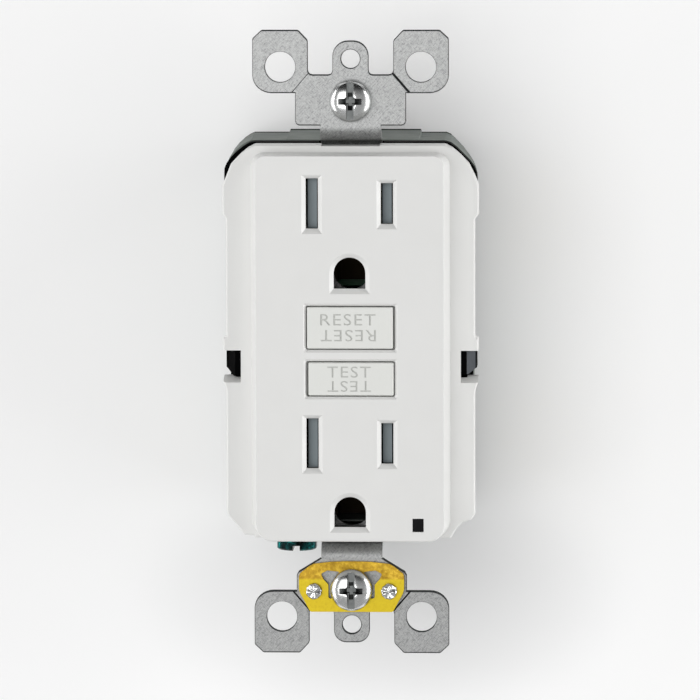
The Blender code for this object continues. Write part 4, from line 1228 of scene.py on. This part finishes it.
m = screw(3.62, 2.3, 1.65, 23.0, 1.2, 4.5)
piece("upper_mount_screw_turned", put(m, (0, -1.6, UP_SCREW_Z), "-Y"), [BRIGHT, RECESS_SHADE],
      "upper_mount_screw", 34, pick=in_recess(-1.6, UP_SCREW_Z))
m = screw(3.62, 2.3, 1.65, 23.9, 1.2, 4.5)
piece("lower_mount_screw_turned", put(m, (0, -2.5, LOW_SCREW_Z), "-Y"), [BRIGHT, RECESS_SHADE],
      "lower_mount_screw", 34, pick=in_recess(-2.5, LOW_SCREW_Z))
for end, zc in (("load", TERM_Z), ("line", -TERM_Z)):
    for pole, sx, mat, slot in (("hot", 1, BRASS, "brass_sheet"),
                                ("neutral", -1, BRIGHT, "bright_zinc")):
        m = screw(3.8, 1.9, 1.95, 6.4, 1.1, 4.2, plain=0.6)
        piece("%s_%s_screw_turned" % (end, pole),
              put(m, (sx * 19.0, TERM_Y, zc), "+X" if sx > 0 else "-X"), mat,
              "%s_%s_screw" % (end, pole), 34)
        z0, z1 = zc - 4.8, zc + 4.8
        plate = soft_block("clamp", *sorted((sx * 13.2, sx * 14.6)), 8.0, 18.2, z0,
                           z1, 0.22)
        lines = [rod_mesh("line", "Z", (sx * 14.75, y, 0), 0.35, z0 - 1, z1 + 1, 8)
                 for y in (9.3, 14.9, 16.2)]
        plate = minus(plate, rod_mesh("hole", "X", (0, TERM_Y, zc), 2.25,
                                      *sorted((sx * 12, sx * 16)), 24), *lines)
        piece("%s_%s_clamp_plate" % (end, pole), plate, BRIGHT,
              "%s_%s_clamp" % (end, pole), 34)

# hexagonal washer-head ground screw, head down
rows = [(0, 2.1), (2.7, 2.1), (3.3, 1.98), (3.66, 1.7), (3.74, 1.4), (3.75, 0.95),
        (3.72, 0.62), (3.75, 0.5), (3.75, 0.12), (3.62, 0), (2.05, 0), (1.95, -0.1),
        (1.95, -0.6)] + thread_rows(1.95, 0.794, -0.65, -5.2) + [
            (1.6, -5.3), (1.0, -6.0), (0, -6.0)]


def hexed(r, h, t):
    if h > 0.6 and r > 2.5:
        a = (t + math.pi / 6) % (math.pi / 3) - math.pi / 6
        lim = 3.38 / math.cos(a)
        return min(r, lim if h < 1.9 else lim * 0.93), h
    if -5.25 < h < -0.62 and abs(r - 1.95) < 1e-6:
        phase = (h / 0.794 + t / (2 * math.pi)) % 1.0
        return r - 0.3 * (1 - abs(2 * phase - 1)), h
    return r, h


m = turned("ground", rows, 48, hexed)
m = minus(m, loft("slot", [(-5, [(-0.6, 1.1), (0.6, 1.1), (0.6, 3), (-0.6, 3)]),
                           (5, [(-0.6, 1.1), (0.6, 1.1), (0.6, 3), (-0.6, 3)])]))
piece("ground_screw_turned", put(m, (-9.9, 10.0, -34.85), "-Z"), TEAL_AND_SHADE,
      "ground_screw", 30)

# ------------------------------------------------- self-grounding clip
outer = mirrored([(0.6, -37.42), (3.4, -37.5), (6.5, -37.85), (7.3, -38.3),
                  (8.8, -39.45), (9.0, -40.0), (9.0, -42.2), (8.8, -42.9),
                  (7.15, -45.95), (6.9, -46.1)])
window = filleted([(1.7, -39.25), (4.1, -39.0), (5.25, -39.55), (4.7, -40.6),
                   (3.95, -41.4), (3.95, -43.7), (3.2, -43.9), (3.05, -41.4),
                   (2.6, -40.2)], 0.3, 3)
clip = sheet_mesh("clip", [outer, window, [(-x, z) for x, z in window],
                           circle(0, LOW_SCREW_Z, 2.0, 24),
                           circle(6.42, -42.5, 1.15, 16),
                           circle(-6.42, -42.5, 1.15, 16)], "XZ", -2.2, -1.75)
ease(clip, 0.1, 60, 2)
bm = bmesh.new()
bm.from_mesh(clip)
for s in (-40.9, -40.6, -40.3, -39.9, -39.3, -38.6, -38.0):
    bmesh.ops.bisect_plane(bm, geom=bm.verts[:] + bm.edges[:] + bm.faces[:],
                           dist=1e-8, plane_co=(0, 0, s * MM), plane_no=(0, 0, 1))
for v in bm.verts:
    z = v.co.z / MM
    if z > -40.7:
        v.co.y += 0.38 * min(1.0, ((z + 40.7) / 3.2)) ** 1.1 * MM
bmesh.ops.recalc_face_normals(bm, faces=bm.faces)
bm.to_mesh(clip)
bm.free()
piece("clip_sheet", clip, CLIP, "ground_clip", 30)


def crushed(r, h, t):
    if h > 0.2 and r > 0.2:
        k = 0.16 * math.cos(5 * t + 0.7) * min(1.0, r / 0.7)
        return r * (1 + 0.03 * math.cos(5 * t)), h + k * (0.9 if h < 0.85 else 0.5)
    return r, h


for side, sx in (("left", -1), ("right", 1)):
    rows = [(0, 0.7), (0.3, 0.66), (0.62, 0.62), (0.95, 0.58), (1.2, 0.46),
            (1.33, 0.26), (1.35, 0.12), (1.33, 0.0), (0.82, 0.0), (0.8, -0.1),
            (0.8, -2.3), (0, -2.3)]
    m = turned("rivet", rows, 40, crushed)
    if sx < 0:
        m.transform(Matrix.Rotation(0.9, 4, "Z"))
    piece("clip_rivet_head_" + side, put(m, (sx * 6.42, -2.5, -42.5), "-Y"), BRIGHT,
          "clip_rivet_" + side, 40)

washer = sheet_mesh("washer", [circle(0, UP_SCREW_Z, 4.3, 40),
                               circle(0, UP_SCREW_Z, 2.0, 24)], "XZ", 0.3, 1.0)
piece("screw_retainer_washer", ease(washer, 0.1, 60, 2), FIBRE,
      "upper_screw_retainer")

# ---------------------------------------------------------- middle frame
rim_foot = [(20.7, 21.3), (20.7, -27.6), (20.2, -29.0), (18.5, -31.2), (16.9, -32.6),
            (15.5, -32.9)]
rim_right = [(16.1, 34.14), (16.9, 33.88), (17.95, 33.1), (19.3, 31.72), (20.25, 30.75),
             (20.95, 29.8), (21.38, 28.7), (21.45, 27.8), (21.45, 22.3)] + rim_foot
rim_left = [(16.7, 34.14), (17.4, 34.0), (18.45, 33.34), (19.7, 32.36), (20.7, 31.36),
            (21.3, 30.5), (21.65, 29.6), (21.7, 28.4), (21.6, 22.3)] + rim_foot
rim = rim_right + [(-x, z) for x, z in reversed(rim_left)]
mid = sheet_mesh("mid", [filleted(rim, 0.5, 3)], "XZ", 1.6, 5.1)
tools = [("DIFFERENCE", sheet_mesh("well", [rounded(-19.8, 19.8, -31.2, 32.2, 4.6, 6)],
                                   "XZ", 0.5, 3.9)),
         ("DIFFERENCE", block("neck", -5.6, 5.6, 0.5, 3.9, 31, 36)),
         ("DIFFERENCE", block("neck", -5.6, 5.6, 0.5, 3.9, -35, -30))]
for sx in (-1, 1):
    for sz in (-1, 1):
        tools.append(("DIFFERENCE", rod_mesh("bore", "Y", (sx * BOSS[0], 0, sz * BOSS[1]),
                                             1.55, 3, 6, 20)))
for sx in (-1, 1):
    edge, foot = (21.4, -5.2) if sx > 0 else (21.35, -5.55)
    face = [(18.78, -1.15), (edge, -1.15), (edge, -4.25), (20.0, foot),
            (18.78, foot)]
    latch = sheet_mesh("latch", [[(sx * x, z) for x, z in face]], "XZ", -2.55, 5.0)
    slope = [(19.75, -3.2), (21.9, -3.2), (21.9, 0.19), (21.15, 0.19), (19.75, -2.45)]
    latch = minus(latch, sheet_mesh("slope", [[(sx * x, y) for x, y in slope]], "XY",
                                    -7, 0))
    ease(latch, 0.12, 25, 2, lambda p: p.y < 3.0)
    tools.append(("UNION", latch))
for k, zc in enumerate(OUTLET_Z):
    for sx, length in ((-1, NEUTRAL_L), (1, HOT_L)):
        tools.append(("DIFFERENCE", block("s", sx * SLOT_X - SLOT_W / 2 - 0.9,
                                          sx * SLOT_X + SLOT_W / 2 + 0.9, 3, 6,
                                          zc - length / 2 - 0.9,
                                          zc + length / 2 + 0.9)))
for z in GROUND_IN_Z:
    tools.append(("DIFFERENCE", block("g", -4.75, 4.75, 3, 6, z - 2.8, z + 2.8)))
tools += [("DIFFERENCE", rod_mesh("pin", "Y", (0, 0, RESET[1]), 1.7, 3, 6, 20)),
          ("DIFFERENCE", block("led", 9.6, 13.5, 3, 6, -31.0, -29.2))]
# the right latch's outward face takes the lighter black as painted light
piece("middle_frame_moulding", combine(mid, tools), [BLACK_AND_SHADE, PAINTED_LIT_BLACK], "middle_frame",
      30,
      pick=lambda c, nor: 1 if c.x > 19.7 and c.y < 1.5 and -5.5 < c.z < -1.4 and
      nor.x > 0.5 and abs(nor.z) < 0.3 else 0)

# ---------------------------------------------------------- rear housing
house_foot = [(20.8, 21.2), (20.8, -27.6), (20.3, -29.0), (18.6, -31.3), (17.0, -32.7),
              (15.6, -33.0)]
house_right = [(15.7, 34.22), (16.6, 33.8), (17.45, 32.98), (18.85, 31.5), (19.9, 30.1),
               (20.65, 28.9), (21.1, 27.7), (21.3, 26.4), (21.3, 22.2)] + house_foot
house_left = [(17.3, 34.22), (18.2, 33.8), (19.1, 33.2), (20.1, 32.3), (21.0, 31.2),
              (21.55, 29.9), (21.7, 28.5), (21.7, 22.2)] + house_foot
out_loop = filleted(house_right + [(-x, z) for x, z in reversed(house_left)], 0.7, 3)
rings = [(5.4, inset(out_loop, 0.1)), (5.5, out_loop)]
for y, d in ((12.0, 0.08), (20.5, 0.22), (23.3, 0.27), (23.36, 0.27), (24.5, 0.3), (24.6, 0.4), (25.3, 0.42),
             (25.6, 0.46), (25.8, 0.56), (25.9, 0.7)):
    lift = min(d, 0.42) + (0.05 if y > 23.3 else 0.0)
    rings.append((y, [(max(-21.72, x - 0.03 * (y - 5.5)) if x < -16.4 and z > 29.2 else x,
                       z + lift if z > 24 else z) for x, z in inset(out_loop, d)]))
house = loft("house", rings)
pad = [(t, [(-11.9, 32.8), (11.9, 32.8), (11.3, z), (-11.3, z)])
       for t, z in ((5.6, 34.26), (18.8, 35.0), (18.86, 35.04), (20.3, 35.1),
                    (20.5, 35.0))]
parts = [("UNION", loft("pad", pad))]
# raised ribs along the top wall
for z0, z1 in ((33.6, 34.1),):
    for x in (-14.6, 14.6):
        parts.append(("UNION", soft_block("rib", x - 0.5, x + 0.5, 8.0, 20.0, z0, z1,
                                          0.15)))
parts.append(("DIFFERENCE", sheet_mesh(
    "cavity", [rounded(-19.8, 19.8, -31.2, 32.2, 4.6, 6)], "XZ", 4.5, 23.9)))
for sx in (-1, 1):
    for sz in (-1, 1):
        bx, bz = sx * BOSS[0], sz * BOSS[1]
        parts.append(("UNION", rod_mesh("post", "Y", (bx, 0, bz), 2.8, 5.6, 25.4)))
for sx in (-1, 1):
    for sz in (-1, 1):
        bx, bz = sx * BOSS[0], sz * BOSS[1]
        parts += [("DIFFERENCE", rod_mesh("b", "Y", (bx, 0, bz), 1.55, 0, 27, 20)),
                  ("DIFFERENCE", rod_mesh("c", "Y", (bx, 0, bz), 2.6, 24.1, 27, 32))]
        w = loft("window", [(t, inset(rect(12.75, sz * TERM_Z, 6.15, 5.6), d))
                            for t, d in ((sx * 18.5, 0.0), (sx * 20.4, 0.0),
                                         (sx * 21.4, -0.95))], "YZ")
        parts.append(("DIFFERENCE", w))
        for dz in (-3.5, 3.5):
            x, z = sx * 16.1, sz * TERM_Z + dz
            parts.append(("DIFFERENCE", put(turned(
                "wire", [(2.9, 27.0), (2.25, 25.9), (1.6, 25.0), (1.6, 22.0)], 28),
                (x, 0, z), "+Y")))
parts += [("DIFFERENCE", rod_mesh("gb", "Z", (-9.9, 10.0, 0), 2.5, -35, -30, 28))]
# recessed back panel, strip-length gauge and a mould parting step
panel = filleted(mirrored([(11.2, 29.5), (11.2, -28.5)]), 1.2, 5)
parts.append(("DIFFERENCE", loft("panel", [(25.45, inset(panel, 0.25)),
                                           (26.4, inset(panel, -0.2))])))
for i in range(-4, 5):
    parts.append(("UNION", soft_block("rib", -10.0, 10.0, 25.2, 25.8, i * 6.4 - 0.35,
                                      i * 6.4 + 0.35, 0.12)))
gauge = filleted([(-8.0, 31.4), (8.0, 31.4), (8.0, 30.6), (-8.0, 30.6)], 0.35, 4)
parts.append(("DIFFERENCE", loft("gauge", [(25.5, inset(gauge, 0.1)), (26.4, gauge)])))
house = combine(house, parts)


def dark_rim(c, nor):
    """Painted shade on the back edge of the outer walls and of the raised top pad."""
    if nor.z > 0.4 and c.z > 34.8 and c.y < 21:
        return 1 if c.y > 18.8 else 0
    if not -0.7 < nor.y < 0.85 or c.y < (23.3 if nor.z > 0.8 else 24.7):
        return 0
    return 1 if c.z > 28 and (abs(c.x) > 20 or c.z > 32.8 or
                              abs(c.x) + c.z > 47.5) else 0


piece("housing_shell", house, [GREY, RIM_SHADE], "rear_housing", 30,
      pick=dark_rim)

for i, (sx, sz) in enumerate(((-1, 1), (1, 1), (-1, -1), (1, -1))):
    node = "housing_screw_" + ("upper_left", "upper_right", "lower_left",
                               "lower_right")[i]
    rows = [(0, 1.25), (1.2, 1.2), (2.0, 0.95), (2.38, 0.45), (2.4, 0.1), (2.32, 0),
            (1.2, 0), (1.2, -16.0)]
    rows += thread_rows(1.2, 1.0, -16.1, -24.6) + [(0.9, -24.8), (0.4, -25.6),
                                                   (0, -25.6)]

    def coarse(r, h, t):
        if -24.7 < h < -16.05 and abs(r - 1.2) < 1e-6:
            phase = (h + t / (2 * math.pi)) % 1.0
            return r - 0.28 * (1 - abs(2 * phase - 1)), h
        return r, h
    m = turned("hs", rows, 28, coarse)
    m = minus(m, loft("cross", [(1.8, cross(1.45, 0.36)), (0.3, cross(0.6, 0.2))],
                      "XY"))
    m.transform(Matrix.Rotation(0.35 + 0.8 * i, 4, "Z"))
    piece(node + "_turned", put(m, (sx * BOSS[0], 24.4, sz * BOSS[1]), "+Y"), DULL,
          node, 34)

# --------------------------------------------------- coil springs


def coil_mesh(name, axis, centre, r, a0, a1, turns, wire):
    """Closed round-wire helix as a mesh tube."""
    per, ring = 16, 8
    n = int(turns * per)
    i = "XYZ".index(axis)
    u, v = [(1, 2), (2, 0), (0, 1)][i]
    span = a1 - a0 - wire
    bm = bmesh.new()
    rows = []
    for k in range(n + 1):
        t = k / n
        t = t * t * (3 - 2 * t) * 0.25 + t * 0.75
        ang = 2 * math.pi * k / per
        out = [0.0, 0.0, 0.0]
        out[u], out[v] = math.cos(ang), math.sin(ang)
        base = list(centre)
        base[i] = a0 + wire / 2 + t * span
        rows.append([])
        for q in range(ring):
            s = 2 * math.pi * q / ring
            p = list(base)
            p[u] += out[u] * (r + wire / 2 * math.cos(s))
            p[v] += out[v] * (r + wire / 2 * math.cos(s))
            p[i] += wire / 2 * math.sin(s)
            rows[-1].append(bm.verts.new(Vector(p) * MM))
    for a, b in zip(rows, rows[1:]):
        for q in range(ring):
            bm.faces.new((a[q], a[(q + 1) % ring], b[(q + 1) % ring], b[q]))
    bm.faces.new(rows[0])
    bm.faces.new(list(reversed(rows[-1])))
    return new_mesh(bm, name)


for node, axis, centre, r, a0, a1, turns, wire, joint, anchor, travel in (
        ("reset_spring", "Y", (0, 0, RESET[1]), 1.9, -4.3, 2.0, 5.5, 0.4,
         "reset_press", (0, 0.002, 0), 2.3),
        ("upper_shutter_spring", "X", (0, -4.15, OUTLET_Z[0]), 0.75, -4.4, 4.4, 9.0,
         0.3, "upper_shutter_open", (0, 0, 0), 5.8),
        ("lower_shutter_spring", "X", (0, -4.15, OUTLET_Z[1]), 0.75, -4.4, 4.4, 9.0,
         0.3, "lower_shutter_open", (0, 0, 0), 5.8),
        ("plunger_spring", "Z", (0, 10.5, 0), 1.2, -22.9, -17.5, 6.0, 0.3,
         "plunger_fire", (0, 0, -0.0229), 1.2)):
    obj = piece(node + "_coil", coil_mesh("coil", axis, centre, r, a0, a1, turns,
                                          wire), BRIGHT, node, 60,
                weighted=False)
    length = a1 - a0
    if node == "plunger_spring":
        keep = (length + travel) / length
        continue
    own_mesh(obj)

# ------------------------------- carried-over pieces get their finishes
slot_of = {}
for m in frame["record"].get("materials", []):
    for node in m.get("nodes", []):
        slot_of[node] = m.get("slot")
for name, obj in NODES.items():
    got = slot_of.get(name)
    if got is None and obj.material_slots and obj.material_slots[0].material:
        got = obj.material_slots[0].material.name.split(".")[0]
    mat = OWN.get(name, FINISH.get(got, GREY))
    if not obj.data.materials:
        obj.data.materials.append(mat)
    for s in obj.material_slots:
        s.material = mat

# ------------------------------------------------------------------ stage
Y_WALL = 28.5
bm = bmesh.new()
grid = [bm.verts.new((x * MM, Y_WALL * MM, z * MM)) for x, z in
        ((-1500, -1500), (1500, -1500), (1500, 1500), (-1500, 1500))]
bm.faces.new(grid)
wall = bpy.data.objects.new("stage_wall", new_mesh(bm, "stage_wall"))
if wall.data.polygons[0].normal.y > 0:
    wall.data.flip_normals()
COLL.objects.link(wall)
n = Nodes("stage_paper")
# painted shadow: the paper is multiplied darker, down to 0.82, in a soft blob centred below the strap's
# lower end
off_x = n.math("MULTIPLY", n.math("SUBTRACT", n.axis("X"), 4 * MM), 1 / (36 * MM))
off_z = n.math("MULTIPLY", n.math("ADD", n.axis("Z"), 47 * MM), 1 / (20 * MM))
away = n.math("ADD", n.math("MULTIPLY", off_x, off_x), n.math("MULTIPLY", off_z, off_z))
soft = n.span(away, 0.0, 1.7, 0.82, 1.0, True)
paper = n.ramp(n.noise(0.02, 2.0), [(0.3, (0.84, 0.84, 0.84)),
                                    (0.7, (0.86, 0.86, 0.86))])
n.colour(n.mix(1.0, paper, soft, "MULTIPLY"))
# painted light: the paper also glows faintly, lifting its shadows
n.set(Roughness=0.9, Emission_Color=(1.0, 1.0, 1.0, 1.0), Emission_Strength=0.13)
back = n.add("ShaderNodeNewGeometry").outputs["Backfacing"]
clear = n.add("ShaderNodeBsdfTransparent")
blend = n.add("ShaderNodeMixShader")
n.join(back, blend.inputs[0])
n.join(n.bsdf.outputs[0], blend.inputs[1])
n.join(clear.outputs[0], blend.inputs[2])
n.join(blend.outputs[0], n.out.inputs["Surface"])
wall.data.materials.append(n.mat)

world = bpy.data.worlds.new("studio")
bpy.context.scene.world = world
world.use_nodes = True
bg = world.node_tree.nodes["Background"]
bg.inputs[1].default_value = 1.0
towards = world.node_tree.nodes.new("ShaderNodeTexCoord")
parts_of = world.node_tree.nodes.new("ShaderNodeSeparateXYZ")
sky = world.node_tree.nodes.new("ShaderNodeValToRGB")
half_up = world.node_tree.nodes.new("ShaderNodeMapRange")
for k, v in (("From Min", -1.0), ("From Max", 1.0), ("To Min", 0.0), ("To Max", 1.0)):
    half_up.inputs[k].default_value = v
while len(sky.color_ramp.elements) < 4:
    sky.color_ramp.elements.new(0.5)
for e, (at, g) in zip(sky.color_ramp.elements,
                      ((0.0, 0.42), (0.40, 0.38), (0.60, 0.30), (0.86, 0.02))):
    e.position = at
    e.color = (g, g, g, 1.0)
tree = world.node_tree.links
tree.new(towards.outputs["Generated"], parts_of.inputs[0])
tree.new(parts_of.outputs["Z"], half_up.inputs["Value"])
tree.new(half_up.outputs["Result"], sky.inputs[0])
tree.new(sky.outputs[0], bg.inputs[0])


def lamp(name, at, aim, size_x, size_y, watts):
    data = bpy.data.lights.new(name, "AREA")
    data.shape = "RECTANGLE"
    data.size, data.size_y = size_x, size_y
    data.energy = watts
    obj = bpy.data.objects.new(name, data)
    COLL.objects.link(obj)
    obj.location = at
    d = Vector(aim) - Vector(at)
    obj.rotation_euler = d.to_track_quat("-Z", "Y").to_euler()
    obj.visible_camera = False
    return obj


lamp("key", (-0.36, -1.03, 0.08), (0, 0, 0), 1.0, 1.0, 6.9)
lamp("side_left", (-0.60, -0.14, 0.0), (0, 0, 0), 0.12, 0.8, 1.7)
lamp("side_right", (0.60, -0.16, 0.0), (0, 0, 0), 0.12, 0.8, 2.9)

# ----------------------------------------------------------------- camera
aim = Vector((-0.19, -1.3, -1.17)) * MM
back_dir = Vector((0.0434, -0.9936, 0.1045)).normalized()
cam_data = bpy.data.cameras.new("camera")
cam_data.sensor_width = 36.0
cam_data.lens = 302.0
cam_data.clip_start = 0.05
cam_data.clip_end = 20.0
cam = bpy.data.objects.new("camera", cam_data)
COLL.objects.link(cam)
cam.location = aim + back_dir * 1.0
cam.rotation_euler = ((-back_dir).to_track_quat("-Z", "Y") @
                      Quaternion((0, 0, 1), math.radians(-0.15))).to_euler()
bpy.context.scene.camera = cam
bpy.context.scene.view_settings.view_transform = "Standard"
bpy.context.scene.view_settings.look = "None"
bpy.context.view_layer.update()
